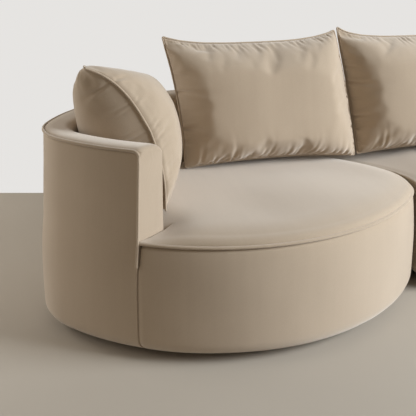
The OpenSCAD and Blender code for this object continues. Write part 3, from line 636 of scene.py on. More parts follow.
def hard_material(name, colour, *, shade, scale, rough, stretch=(1, 1, 1), metallic=0.0, bump=0.1):
    """A plain finish whose grain, on the object's own coordinates, darkens to a shade."""
    material, tree, shader = new_material(name)
    place = add_node(tree, "ShaderNodeTexCoord", {})
    turn = add_node(tree, "ShaderNodeMapping", {
        "Vector": place.outputs["Object"], "Scale": [scale * k for k in stretch],
    })
    grain = add_node(tree, "ShaderNodeTexNoise", {
        "Vector": turn.outputs["Vector"], "Scale": 1.0, "Detail": 5.0, "Roughness": 0.6,
    }).outputs["Fac"]
    ramp = add_node(tree, "ShaderNodeValToRGB", {"Fac": grain})
    dark = [v * shade for v in colour]
    for stop, position, paint in zip(ramp.color_ramp.elements, (0.35, 0.65), (dark, colour)):
        stop.position = position
        stop.color = (*paint, 1)
    set_inputs(tree, shader, {
        "Base Color": ramp.outputs["Color"], "Roughness": level(tree, grain, 0.0, 1.0, *rough),
        "Normal": relief(tree, grain, bump, 0.0008), "Metallic": metallic,
    })
    return material


def plain_material(name, colour, rough):
    """A plain painted surface with only a trace of unevenness."""
    return hard_material(name, colour, shade=0.985, scale=1.2, rough=(rough, rough + 0.05),
                         bump=0.0)


def make_room_for_piping(panel, path, m):
    """Moves the first sections of the left panel, of m points each, off the arm's piping."""
    co = coordinates(panel)
    p, run = path[0], run_of(path[0])
    u = heading(p[0], p[END_STEPS])
    below, beside, blend = 0.0016, 0.0052, 0.012
    for k in range(END_STEPS):
        f = 1 - run[k] / run[END_STEPS]
        z = co[k * m:(k + 1) * m, 2]
        gap = below + beside * np.clip((z - PIPING_FOOT) / blend, 0, 1)
        co[k * m:(k + 1) * m, :2] += (f * gap)[:, None] * u
    set_coordinates(panel, co)


def sides_made(side):
    """The lower panel of one unit, from the seat's seam to under the frame."""
    s = shape()
    path = front_path(side)
    contour = outer_contour(s.seam_z, reach=0.014, depth=0.009)
    ply_foot, end_r, end_in, calm_by_seam, calm_over = 0.13, 0.012, 0.004, 0.01, 0.06
    inner = [[SIDE_PLY, s.seam_z], [SIDE_PLY, ply_foot], under_end()]
    rows = np.repeat(np.array(contour + inner)[None], len(path[0]), 0)
    run = run_of(path[0])
    for k, e in enumerate(run):
        for edge in (e, run[-1] - e):
            if edge < end_r:
                rows[k, : len(contour), 0] += end_in * (1 - math.sqrt(1 - (1 - edge / end_r) ** 2))
    obj = sweep(f"{side}_side_panel", path, rows)
    if side == "left":
        make_room_for_piping(obj, path, rows.shape[1])
    smoothed(obj)
    padded_unevenly(obj, depth=0.0016, scale=5.0, seed=3.0 if side == "left" else 9.0,
                    keep=lambda c: np.clip((s.seam_z - calm_by_seam - c[:, 2]) / calm_over, 0, 1))
    finish_piece(obj, cloth_material("brushed_cloth_panel"), "settee",
                 [f"{side}_side_cover", f"{side}_side_pad"])


def wall_stations(run):
    """Distances of a wall's sections along its path, close together at both rounded ends."""
    rounds = shape().end_round * np.array([0, 0.03, 0.08, 0.16, 0.28, 0.44, 0.66, 1.0])
    rounds = np.concatenate([rounds, [CLOSED_END, OPEN_FROM]])
    even_from = OPEN_FROM + 0.002
    even = run[(run > even_from) & (run < run[-1] - even_from)]
    return np.concatenate([rounds, even, run[-1] - rounds[::-1]])


def wall_made(side):
    """The arm and back wall of one unit, with its top band turned down over the ends."""
    s = shape()
    path = wall_path(side)
    contour, split = wall_contour()
    last, foot = len(contour), contour[-1][1]
    slot_top, slot_foot = s.top_z - 0.0397, 0.075
    rear = [[WALL_PLY_IN, foot], [WALL_PLY_IN, slot_top], [WALL_PLY_OUT, slot_top],
            [WALL_PLY_OUT, slot_foot], under_end()]
    closed_top = foot - 0.001
    closed_rear = [[WALL_PLY_IN, foot], [WALL_PLY_IN, closed_top], [WALL_PLY_OUT, closed_top],
                   [WALL_PLY_OUT, slot_foot], under_end()]
    run = run_of(path[0])
    stations = wall_stations(run)
    normal = np.zeros_like(contour)
    normal[1:-1] = contour[2:] - contour[:-2]
    normal[0], normal[-1] = normal[1], [0, -1]
    normal = np.stack([-normal[:, 1], normal[:, 0]], 1)
    normal /= np.linalg.norm(normal, axis=1)[:, None]
    turn_from, turn_over, turned_share = 0.06, 0.045, np.array([0.55, 1.0])
    near_top = np.clip((contour[:split, 1] - (s.top_z - turn_from)) / turn_over, 0, 1)
    rows = np.repeat(np.concatenate([contour, rear])[None], len(stations), 0)
    for row, t in zip(rows, stations):
        e = min(t, run[-1] - t)
        left_of_round = max(0.0, 1 - e / s.end_round)
        drop = s.end_round * (1 - math.sqrt(max(0.0, 1 - left_of_round**2)))
        row[split:last] -= normal[split:] * turned_share * drop
        row[:split, 1] -= drop * near_top
        row[last - 1, 1] = foot
        if e < (CLOSED_END + OPEN_FROM) / 2:
            row[last:] = closed_rear
    obj = sweep(f"{side}_wall_upholstery", path_at(path, stations), rows)
    smoothed(obj, 60)
    calm_by_top, calm_over, calm_foot = 0.03, 0.08, 0.06

    def uneven_share(c):
        z = c[:, 2]
        return np.clip((s.top_z - calm_by_top - z) / calm_over, 0, 1) * (z > calm_foot)

    padded_unevenly(obj, depth=0.0016, scale=5.0, seed=5.0 if side == "left" else 12.0,
                    keep=uneven_share)
    pads = ["left_wall_pad"] if side == "left" else ["right_arm_pad", "right_back_pad"]
    finish_piece(obj, cloth_material("brushed_cloth_panel"), "settee",
                 [*pads, f"{side}_wall_outer_cover", f"{side}_wall_top_band",
                  f"{side}_wall_end_panels"])


def piping_made(side):
    """Piping along a wall's outer top edge, turned down at its ends."""
    s = shape()
    path = wall_path(side)
    total = run_of(path[0])[-1]
    r, top, step, clear = s.end_round, s.top_z - PIPING_DROP, 0.012, 0.004
    end = [(0.0, z) for z in np.arange(PIPING_FOOT, top - r, step)]
    end += [(r * (1 - math.cos(t)), top - r * (1 - math.sin(t)))
            for t in np.radians(np.arange(0, 90, 10))]
    route = [(e, side_inset(z) - PIPING_END_OUT, z) for e, z in end]
    route += [(t, s.top_in - PIPING_OUT, top)
              for t in np.arange(r + clear, total - r - clear, step)]
    route += [(total - e, side_inset(z) - PIPING_END_OUT, z) for e, z in reversed(end)]
    points = [(*(inset(path, t, d) - middle()), z) for t, d, z in route]
    obj = rolled(f"{side}_wall_piping_roll", points, s.piping_r, sides=10)
    smoothed(obj)
    finish_piping(obj, "settee", f"{side}_wall_piping")


def filled(free, inner, longest=0.012):
    """The closed outline with points added in long gaps, and its count of free points."""
    outline = np.concatenate([free, inner])
    made, free_count = [], 0
    for i, (a, b) in enumerate(zip(outline, np.roll(outline, -1, 0))):
        n = max(1, math.ceil(np.linalg.norm(b - a) / longest))
        made += [a + (b - a) * k / n for k in range(n)]
        if i == len(free) - 2:
            free_count = len(made)
    return np.array(made) - middle(), free_count


def seat_outline(side, d, w):
    """The seat's outline: d inside the free side, w past the walls' inner faces."""
    s, o = shape(), Oval()
    front, wall = front_path(side), wall_path(side)
    front_end, wall_end = run_of(front[0])[-1], run_of(wall[0])[-1]
    if side == "left":
        clear, past = 0.002, 0.001
        return filled(inset(front, np.linspace(clear, front_end - clear, 220), d),
                      inset(wall, np.linspace(-past, wall_end + past, 160), s.wall_t + w))
    clear, past_corner = 0.004, 0.10
    y = s.back_d - s.wall_t - w - o.back_c[1]
    x = math.sqrt((o.back_r + s.unit_gap + d) ** 2 - y**2)
    start = np.array([x, y + o.back_c[1]])
    t = np.linspace(0.0, front_end, 320)
    free = inset(front, t, d)
    free = free[(free[:, 1] < start[1]) & (t > past_corner)]
    inner = inset(wall, np.linspace(clear, wall_end, 120), s.wall_t + w)
    return filled(np.concatenate([[start], free]), inner[inner[:, 0] > start[0] + clear])


def from_edge(points, a, b):
    """Least distance of each point from the lines between a and b."""
    ab = b - a
    t = np.clip(((points[:, None] - a[None]) * ab[None]).sum(2) / (ab**2).sum(1)[None], 0, 1)
    near = a[None] + t[:, :, None] * ab[None]
    return np.linalg.norm(points[:, None] - near, axis=2).min(1)


def inside(points, a, b):
    """Which points lie inside the closed outline that runs from a to b."""
    across = (a[None, :, 1] > points[:, None, 1]) != (b[None, :, 1] > points[:, None, 1])
    run = b[:, 1] - a[:, 1]
    run = np.where(np.abs(run) < 1e-12, 1e-12, run)
    x = a[:, 0] + (points[:, None, 1] - a[:, 1]) * (b[:, 0] - a[:, 0]) / run
    return (across & (points[:, None, 0] < x)).sum(1) % 2 == 1


class Crown(NamedTuple):
    """A seat's middle from the oval's centre, and in the frame its slope's end and its dome."""

    centre: tuple
    slope_x: float
    dome_at: tuple
    dome_r: float
    seed: float


CROWNS = {
    "left": Crown((0.130, -0.020), -0.55, (-0.12, -0.175), 0.31, 21.0),
    "right": Crown((1.110, -0.056), 0.62, (0.66, -0.115), 0.25, 28.0),
}
# Height of a seat's dome above its flat middle
DOME_H = 0.011
# The end of the oval's back wall in the frame, how far round it the seats rise more steeply, and
# by what share
WALL_END, WALL_END_REACH, WALL_END_SHARE = (-0.074, 0.307), 0.17, 0.75
# How far a seat's edge is rolled, and how much further at its left end, over so long a stretch
ROLL, ROLL_LEFT, LEFT_STRETCH = 0.105, 0.23, 0.28
# Powers that round the rolled edge: across it, along its height, and more of that at its left end
ROLL_ROUND, ROLL_FULL, ROLL_FULL_LEFT = 2.3, 0.62, 0.40


def crown_rise(side, outline, free, at):
    """The share of the seat's full height at plan points, 0 at its edge and 1 on the crown."""
    onward = np.roll(outline, -1, 0)
    by_left = np.clip((CROWNS[side].slope_x - at[:, 0]) / LEFT_STRETCH, 0, 1)
    by_left = by_left**2 * (3 - 2 * by_left)
    by_wall_end = np.clip(1 - np.linalg.norm(at - WALL_END, axis=1) / WALL_END_REACH, 0, 1)
    reach = (ROLL + ROLL_LEFT * by_left) * (1 - WALL_END_SHARE * by_wall_end)
    free_reach = reach if side == "right" else np.full(len(at), ROLL)
    rise = inside(at, outline, onward) * 1.0
    for a, b, far in ((outline[:free], onward[:free], free_reach),
                      (outline[free:], onward[free:], reach)):
        share = np.clip(from_edge(at, a, b) / far, 0, 1)
        rise *= (1 - (1 - share) ** ROLL_ROUND) ** (ROLL_FULL + ROLL_FULL_LEFT * by_left)
    return rise


def softly(height, outline, plans, cell=0.008, rounds=26):
    """Heights at plan points, read from a smoothed grid over the outline."""
    margin = 4 * cell
    low = outline.min(0) - margin
    nx, ny = (np.ceil((outline.max(0) + margin - low) / cell)).astype(int) + 1
    x, y = np.meshgrid(low[0] + cell * np.arange(nx), low[1] + cell * np.arange(ny), indexing="ij")
    grid = np.array([height(np.stack([x[i], y[i]], 1)) for i in range(nx)])
    for _ in range(rounds):
        for axis in (0, 1):
            grid = (np.roll(grid, 1, axis) + 2 * grid + np.roll(grid, -1, axis)) / 4
    at = (plans - low) / cell
    i = np.floor(at).astype(int)
    f = at - i
    i, j, f, g = i[..., 0], i[..., 1], f[..., 0], f[..., 1]
    return ((grid[i, j] * (1 - f) + grid[i + 1, j] * f) * (1 - g)
            + (grid[i, j + 1] * (1 - f) + grid[i + 1, j + 1] * f) * g)


def seat_rings(side, c, outline, rim):
    """The hidden foot of a seat, as plans and heights up to the rim over its welt."""
    s = shape()
    foot_z, foot_in, foot_share, neck_share, rim_share = 0.336, 0.0525, 0.995, 0.975, 0.994
    foot_top, neck_z, neck_top, lip_z = s.seam_z - 0.004, s.seam_z + 0.002, rim - 0.004, rim - 0.002
    low = seat_outline(side, foot_in, GAP)[0]
    low = low[np.arange(len(outline)) * len(low) // len(outline)] * foot_share
    neck, lip = (c + (outline - c) * share for share in (neck_share, rim_share))
    return [(low, foot_z), (low, foot_top), (neck, neck_z), (neck, neck_top), (lip, lip_z)]


def seat_made(side):
    """A seat: one sprung pad that crowns up from its welt and rolls against the walls."""
    s, crown = shape(), CROWNS[side]
    c = np.array(crown.centre) - middle()
    rim = s.seam_z + WELT_LIFT + s.welt_h + GAP
    behind_welt, ease_over, settled, dome_from = 0.004, 0.05, 0.03, rim + 0.01
    outline, free = seat_outline(side, s.seam_in + behind_welt, GAP)
    count = len(outline)
    edge = [1.0, 0.9985, 0.995, 0.990, 0.984, 0.976]
    shares = np.concatenate([edge, np.linspace(0.966, 0.70, 22), np.linspace(0.67, 0.06, 16)])
    plans = np.array([c + (outline - c) * k for k in shares])
    ease = np.clip((edge[-1] - shares) / ease_over, 0, 1)[:, None]
    rise = crown_rise(side, outline, free, plans.reshape(-1, 2)).reshape(plans.shape[:2])
    even = softly(lambda at: crown_rise(side, outline, free, at), outline, plans)
    rise += ease * (even - rise)
    rings = [np.column_stack([q, np.full(count, z)]) for q, z in seat_rings(side, c, outline, rim)]
    rings += [np.column_stack([q, rim + (s.seat_z - rim) * up]) for q, up in zip(plans, rise)]
    verts = np.concatenate([*rings, [[*c, s.seat_z]]])
    faces = [tuple(range(count - 1, -1, -1))] + bands(len(rings), count)
    tip = len(verts) - 1
    faces += [(tip - count + i, tip - count + (i + 1) % count, tip) for i in range(count)]
    obj = add_mesh(f"{side}_seat_pad", verts, faces, verts[:, :2])
    smoothed(obj, 60)
    padded_unevenly(obj, depth=0.0022, scale=4.0, seed=crown.seed,
                    keep=lambda v: np.clip((v[:, 2] - rim) / settled, 0, 1))
    co = coordinates(obj)
    away = ((co[:, :2] - crown.dome_at) ** 2).sum(-1)
    dome = DOME_H * np.clip(1 - away / crown.dome_r**2, 0, None) ** 2
    co[:, 2] = np.minimum(co[:, 2], s.seat_z) + dome * (co[:, 2] > dome_from)
    set_coordinates(obj, co)
    finish_piece(obj, cloth_material("brushed_cloth_seat"), "settee",
                 [f"{side}_seat_cover", f"{side}_seat_foam"])


def seat_welt_made(side):
    """The flat welt between a seat and the panel below it."""
    s = shape()
    path = front_path(side)
    z0, full = s.seam_z + WELT_LIFT, 0.0112
    section = [[0.0125, -0.0004], [0.0040, -0.0004], [-0.0006, 0.0008], [-0.0036, 0.0034],
               [-0.0038, 0.0068], [-0.0014, 0.0098], [0.0036, full], [0.0125, full]]
    section = [[s.seam_in + a, z0 + b * s.welt_h / full] for a, b in section]
    clear, past_corner = 0.003, 0.14
    first = clear if side == "left" else past_corner
    stations = np.linspace(first, run_of(path[0])[-1] - clear, 260)
    rows = np.repeat(np.array(section)[None], len(stations), 0)
    obj = sweep(f"{side}_seat_welt_roll", path_at(path, stations), rows)
    smoothed(obj, 70)
    finish_piping(obj, "settee", f"{side}_seat_welt")


class Make:
    """How a cushion is cut and filled; sizes are in metres."""

    # Power of the swell's product: less than 1 fills the cushion out to its seam
    fullness = 0.50
    # The front face sags over so large a share of the height
    sag_reach = 0.24
    # Powers that keep the ears to the upper corners, across and up
    ear_across, ear_up = 9, 5

    def __init__(self, size, crowns, draw, ears, swell, slump=0.0, sag=0.0, hang=None,
                 edge_power=2.0):
        self.welt = stuffing().welt
        self.w, self.h = (v - 2 * self.welt for v in size)
        self.front, self.rear = crowns
        self.left, self.right, self.bottom, self.top = draw
        self.ear_left, self.ear_right = ears
        self.left_power, self.right_power, self.bottom_power, self.top_power = swell
        self.slump, self.sag, self.hang, self.edge_power = slump, sag, hang, edge_power

    def outline(self, u, v):
        """The seam line and the sheet inside it, with drawn-in sides and ears."""
        side = self.left if u < 0 else self.right
        edge = self.bottom if v < 0 else self.top
        power = 2.0 if v < 0 else self.edge_power
        x = u * (self.w / 2 - side * (1 - v * v)) + self.slump * v * self.h / 2
        z = self.h / 2 + v * (self.h / 2 - edge * (1 - abs(u) ** power))
        ear = self.ear_left if u < 0 else self.ear_right
        return x, z + ear * abs(u) ** self.ear_across * max(v, 0.0) ** self.ear_up

    def swell(self, u, v):
        """How far the cloth stands off the seam's plane, from 0 to 1."""
        across = self.left_power if u < 0 else self.right_power
        up = self.bottom_power if v < 0 else self.top_power
        return ((1 - abs(u) ** across) * (1 - abs(v) ** up)) ** self.fullness

    def front_point(self, u, v, t):
        x, z = self.outline(u, v)
        return x, -self.front * t, z - self.sag * t * math.exp(-(((1 + v) / self.sag_reach) ** 2))

    def rear_point(self, u, v, t):
        x, z = self.outline(u, v)
        return x, self.rear * t, z


class Gathers(NamedTuple):
    """Gathers along one edge: their count and ranges of length, width and angle in degrees.

    Those given one by one follow, each as share of the edge, angle, length, width and depth.
    """

    count: int
    lengths: tuple
    widths: tuple
    angles: tuple
    placed: tuple = ()


def folds(rng, edge, long, ends=0.03, jitter=0.42, shallowest=0.35, deep_power=1.6):
    """The gathers of an edge so long, each as place, angle, length, width and depth."""
    made = []
    for i in range(edge.count):
        at = (i + 0.5 + rng.uniform(-jitter, jitter)) / edge.count
        lean = rng.uniform(*edge.angles)
        made.append((ends + at * (long - ends - ends), math.radians(lean),
                     rng.uniform(*edge.lengths), rng.uniform(*edge.widths),
                     rng.uniform(shallowest, 1.0) ** deep_power))
    return made + [(at * long, math.radians(lean), *rest) for at, lean, *rest in edge.placed]


def gathered(a, d, made):
    """Depth of the gathers at distance a along an edge and d away from it."""
    total = np.zeros_like(a)
    straighten, widen, bank_at, bank_h, fade_power, from_seam = 0.35, 0.7, 1.8, 0.5, 1.8, 0.004
    for at, lean, long, width, depth in made:
        slant = math.tan(lean) * d * (1 - straighten * d / long)
        q = (a - at - slant) * math.cos(lean)
        wide = width * (1 + widen * np.clip(d / long, 0, 2))
        valley = np.exp(-((q / wide) ** 2))
        banks = [np.exp(-(((q + shift * wide) / wide) ** 2)) for shift in (-bank_at, bank_at)]
        fade = np.exp(-((d / long) ** fade_power)) * np.clip(d / from_seam, 0, 1)
        total += depth * width * (bank_h * (banks[0] + banks[1]) - valley) * fade
    return total


def swelled(obj, seam, frames=20, grow=0.035, even_rounds=4):
    """Lets the filling press the cloth out while its seam is held, and caps how far it moves."""
    held = obj.vertex_groups.new(name="seam")
    held.add(seam, 1.0, "REPLACE")
    start = coordinates(obj)
    cloth = obj.modifiers.new("Cloth", "CLOTH")
    cloth.settings.quality = 6
    cloth.settings.mass = 0.25
    cloth.settings.tension_stiffness = 18
    cloth.settings.compression_stiffness = 18
    cloth.settings.shear_stiffness = 6
    cloth.settings.bending_stiffness = 0.25
    cloth.settings.use_pressure = True
    cloth.settings.uniform_pressure_force = stuffing().pressure
    cloth.settings.shrink_min = -grow
    cloth.settings.vertex_group_mass = held.name
    cloth.settings.effector_weights.gravity = 0
    cloth.point_cache.frame_start = 1
    cloth.point_cache.frame_end = frames
    cloth.collision_settings.use_collision = False
    for f in range(1, frames + 1):
        bpy.context.scene.frame_set(f)
    move = coordinates(obj.evaluated_get(bpy.context.evaluated_depsgraph_get())) - start
    obj.modifiers.clear()
    obj.vertex_groups.clear()
    bpy.context.scene.frame_set(1)
    far = np.linalg.norm(move, axis=1)
    move *= (np.minimum(far, stuffing().cap) / np.maximum(far, 1e-9))[:, None]
    pairs = np.array([edge.vertices[:] for edge in obj.data.edges])
    near = np.bincount(pairs.ravel(), minlength=len(move))[:, None]
    for _ in range(even_rounds):
        total = np.zeros_like(move)
        np.add.at(total, pairs[:, 0], move[pairs[:, 1]])
        np.add.at(total, pairs[:, 1], move[pairs[:, 0]])
        move = 0.5 * move + 0.5 * total / near
    move[seam] = 0
    set_coordinates(obj, start + move)


def pillow_hang(u, v):
    """How the side pillow bends over the arm, with its far upper corner sunk in."""
    far = ((1 + u) / 2) ** 1.5
    near = 1 - (1 + u) / 2
    up, down = np.clip(v, 0, 1), np.clip(-v, 0, 1)
    far_in, foot_in, near_forward, near_lift, far_sink = 0.060, 0.028, 0.002, 0.041, 0.142
    bend, bend_power = 0.088 - 0.040 * down, 3.4
    move = np.zeros((len(u), 3))
    move[:, 0] = -far_in * far * up**2 - foot_in * near * down**2
    move[:, 1] = -bend * (1 - np.abs(v) ** bend_power) - near_forward * near * up**2
    move[:, 2] = near_lift * near * up**2 - far_sink * far * up**2
    return move


def spaced(n):
    """Places from -1 to 1, closer together towards both ends."""
    t = np.linspace(-1, 1, n + 1)
    return 0.45 * t + 0.55 * np.sin(t * math.pi / 2)


def unevenness(co, scale, seed):
    """Noise over a cushion's face for each of its points."""
    return np.array([noise.noise(Vector((c[0] * scale, c[2] * scale, seed))) for c in co])


def set_point_values(obj, key, values):
    made = obj.data.attributes.new(key, "FLOAT", "POINT")
    made.data.foreach_set("value", np.asarray(values, np.float32))


def point_values(obj, key):
    values = np.zeros(len(obj.data.vertices))
    obj.data.attributes[key].data.foreach_get("value", values)
    return values


def sewn_sheets(name, make, us, vs):
    """A front and a rear sheet on one seam, whose points keep their u, v and place on it."""
    nu, nv = len(us) - 1, len(vs) - 1
    verts, uv, places, seam, index, faces = [], [], [], [], {}, []
    for sheet, point in (("front", make.front_point), ("rear", make.rear_point)):
        for j, v in enumerate(vs):
            for i, u in enumerate(us):
                edge = i in (0, nu) or j in (0, nv)
                if edge and sheet == "rear":
                    index[sheet, i, j] = index["front", i, j]
                    continue
                index[sheet, i, j] = len(verts)
                if edge:
                    seam.append(len(verts))
                x, y, z = point(u, v, 0.0 if edge else make.swell(u, v))
                verts.append((x, y, z + make.welt))
                uv.append((x, z if sheet == "front" else -z))
                places.append((u, v))
    for sheet in ("front", "rear"):
        for j in range(nv):
            for i in range(nu):
                quad = (index[sheet, i, j], index[sheet, i + 1, j],
                        index[sheet, i + 1, j + 1], index[sheet, i, j + 1])
                faces.append(quad if sheet == "front" else quad[::-1])
    obj = add_mesh(name, verts, faces, uv)
    swelled(obj, seam)
    on_seam = np.zeros(len(verts))
    on_seam[seam] = 1.0
    for key, values in zip(("u", "v", "ring"), (*np.transpose(places), on_seam)):
        set_point_values(obj, key, values)
    return obj


def cushion_made(name, make, gathers, place, nu, nv, seed):
    """A stuffed cushion of nu by nv squares, its front towards -Y, then put in its place."""
    rng = random.Random(seed)
    obj = sewn_sheets(name, make, spaced(nu), spaced(nv))
    select_only(obj)
    finer = obj.modifiers.new("Finer", "SUBSURF")
    finer.levels = finer.render_levels = 1
    bpy.ops.object.modifier_apply(modifier=finer.name)
    u, v = point_values(obj, "u"), point_values(obj, "v")
    a_x, a_z = (u + 1) * make.w / 2, (v + 1) * make.h / 2
    b_x, b_z = make.w - a_x, make.h - a_z
    depth = np.zeros(len(u))
    for edge, along, away, long in (("bottom", a_x, a_z, make.w), ("top", a_x, b_z, make.w),
                                    ("left", a_z, a_x, make.h), ("right", a_z, b_x, make.h)):
        depth += gathered(along, away, folds(rng, gathers[edge], long))
    co = coordinates(obj)
    small, broad = unevenness(co, 9, seed), unevenness(co, 4, seed + 7.0)
    small_depth, broad_depth, margin = 0.0012, 0.0035, 0.03
    off_edge = np.clip(np.minimum(np.minimum(a_x, b_x), np.minimum(a_z, b_z)) / margin, 0, 1)
    off_seam = np.where(point_values(obj, "ring") > 0.9, 0, 1)
    co += normals(obj) * (stuffing().pucker * depth * off_seam
                          + off_edge * (small_depth * small + broad_depth * broad))[:, None]
    if make.hang:
        co += make.hang(u, v)
    set_coordinates(obj, co)
    roll = cushion_welt(f"{name}_piping", seam_ring(obj), make.welt / 2)
    for key in ("u", "v", "ring"):
        obj.data.attributes.remove(obj.data.attributes[key])
    obj.data.transform(place)
    roll.data.transform(place)
    return obj, roll


def seam_ring(obj):
    """The seam's points in order, found from the cushion's own edges."""
    on = set(np.flatnonzero(point_values(obj, "ring") > 0.999).tolist())
    near = {}
    for edge in obj.data.edges:
        a, b = edge.vertices
        if a in on and b in on:
            near.setdefault(a, []).append(b)
            near.setdefault(b, []).append(a)
    start = min(near)
    order, before = [start], None
    while len(order) <= len(on):
        step = [k for k in near[order[-1]] if k != before]
        before = order[-1]
        if not step or step[0] == start:
            return coordinates(obj)[order]
        order.append(step[0])
    raise RuntimeError("the cushion's seam is not one ring")


def cushion_welt(name, ring, r, out_share=0.75):
    """Piping sewn into a cushion's seam, a share of its radius outside the cloth."""
    out = ring - ring.mean(0)
    out[:, 1] = 0
    tangent = np.roll(ring, -1, 0) - np.roll(ring, 1, 0)
    normal = np.stack([tangent[:, 2], np.zeros(len(ring)), -tangent[:, 0]], 1)
    normal /= np.linalg.norm(normal, axis=1)[:, None]
    normal *= np.sign((normal * out).sum(1))[:, None]
    points = ring + normal * r * out_share
    for _ in range(2):
        points = (np.roll(points, 1, 0) + 2 * points + np.roll(points, -1, 0)) / 4
    return rolled(name, points, r, sides=8, across=np.array([0.0, 1.0, 0.0]))


def standing(x, y, lean, turn=0.0):
    """Where a cushion stands on a seat, from the oval's centre, leaning back on its lower edge."""
    m, s, c = middle(), shape(), stuffing()
    sine, cosine = math.sin(math.radians(lean)), math.cos(math.radians(lean))
    welt_rear, seam_half, zip_t = 0.002, 0.009, 0.005
    dip = max(welt_rear * sine, seam_half * sine - (c.welt - zip_t) * cosine)
    return (Matrix.Translation((x - m[0], y - m[1], s.seat_z + GAP + dip))
            @ Matrix.Rotation(math.radians(turn), 4, "Z")
            @ Matrix.Rotation(-math.radians(lean), 4, "X"))


def finish_cushion(name, obj, roll):
    """Lays a cushion and its piping on the seat, so that nothing sinks in, and finishes both."""
    for piece in (obj, roll):
        co = coordinates(piece)
        co[:, 2] = np.maximum(co[:, 2], shape().seat_z + GAP)
        set_coordinates(piece, co)
        smoothed(piece, 80)
    finish_piece(obj, cloth_material("brushed_cloth_cushion"), name,
                 [f"{name}_cover", f"{name}_insert"])
    finish_piping(roll, name, f"{name}_welt")


class SETTEE_OT_panels(bpy.types.Operator):
    """Make the lower panels of both units"""

    bl_idname = "settee.panels"
    bl_label = "Side panels"

    def execute(self, context):
        for side in ("left", "right"):
            sides_made(side)
        return {"FINISHED"}


class SETTEE_OT_walls(bpy.types.Operator):
    """Make the arms and back walls with their piping"""

    bl_idname = "settee.walls"
    bl_label = "Arms and backs"

    def execute(self, context):
        for side in ("left", "right"):
            wall_made(side)
            piping_made(side)
        return {"FINISHED"}


class SETTEE_OT_seats(bpy.types.Operator):
    """Make the seats and their welts"""

    bl_idname = "settee.seats"
    bl_label = "Seats"

    def execute(self, context):
        for side in ("left", "right"):
            seat_made(side)
            seat_welt_made(side)
        return {"FINISHED"}


class SETTEE_OT_back_cushions(bpy.types.Operator):
    """Make the two back cushions"""

    bl_idname = "settee.back_cushions"
    bl_label = "Back cushions"

    gathers = {
        "bottom": Gathers(46, (0.018, 0.070), (0.0028, 0.0050), (6, 54)),
        "top": Gathers(27, (0.012, 0.034), (0.0026, 0.0042), (14, 50)),
        "left": Gathers(7, (0.015, 0.035), (0.0028, 0.0045), (-14, 10), (
            (0.58, -6, 0.075, 0.0062, 1.1), (0.30, 2, 0.055, 0.0062, 1.2),
            (0.71, -10, 0.060, 0.0058, 0.5), (0.205, 4, 0.060, 0.0060, 0.5),
        )),
        "right": Gathers(12, (0.010, 0.024), (0.0030, 0.0050), (-12, 12)),
    }

    def execute(self, context):
        s, c = shape(), stuffing()
        from_arm, from_right_arm, from_wall, right_behind = 0.406, 0.008, 0.178, 0.018
        row_x = s.wall_t - s.half_w + from_arm
        row_end = s.right_x - s.wall_t + c.slump * c.back_h / 2 - from_right_arm
        row_y = s.back_d - s.wall_t - from_wall
        for name, w, x, y, seed, ears, sides in (
            ("left_cushion", c.left_w, row_x + c.left_w / 2, row_y, 11,
             (0.003, 0.006), (0.015, -0.010)),
            ("right_cushion", c.right_w, row_end - c.right_w / 2, row_y + right_behind, 17,
             (0.016, 0.004), (0.003, 0.004)),
        ):
            make = Make((w, c.back_h), (c.crown_front, c.crown_rear), draw=(*sides, 0.016, 0.030),
                        ears=ears, swell=(2.6, 5.0, 5.0, 3.0), slump=c.slump, sag=0.030,
                        edge_power=3.2)
            place = standing(x, y, c.lean)
            obj, roll = cushion_made(f"{name}_stuffed", make, self.gathers, place,
                                     nu=104, nv=76, seed=seed)
            finish_cushion(name, obj, roll)
        return {"FINISHED"}


class SETTEE_OT_side_pillow(bpy.types.Operator):
    """Make the pillow that leans on the left arm"""

    bl_idname = "settee.side_pillow"
    bl_label = "Side pillow"

    gathers = {
        "bottom": Gathers(12, (0.020, 0.050), (0.0030, 0.0050), (-20, 20)),
        "top": Gathers(9, (0.020, 0.050), (0.0030, 0.0050), (-25, 25)),
        "left": Gathers(7, (0.012, 0.028), (0.0026, 0.0040), (-15, 15), (
            (0.50, 18, 0.030, 0.0044, 0.8), (0.43, 14, 0.034, 0.0046, 0.8),
            (0.86, -20, 0.034, 0.0044, 1.2),
        )),
        "right": Gathers(9, (0.020, 0.045), (0.0030, 0.0050), (-15, 15)),
    }

    def execute(self, context):
        s, c = shape(), stuffing()
        from_arm, y, front_less, rear_more = 0.312, 0.010, 0.064, 0.108
        crowns = (c.pillow_crown - front_less, c.pillow_crown + rear_more)
        make = Make((c.pillow_w, c.pillow_h), crowns, draw=(0.006, 0.020, 0.012, 0.012),
                    ears=(-0.014, 0.0), swell=(2.4, 2.4, 2.4, 1.9), hang=pillow_hang)
        place = standing(s.wall_t - s.half_w + from_arm, y, c.pillow_lean, c.pillow_turn + 90)
        obj, roll = cushion_made("side_pillow_stuffed", make, self.gathers, place,
                                 nu=64, nv=80, seed=29)
        finish_cushion("side_pillow", obj, roll)
        return {"FINISHED"}


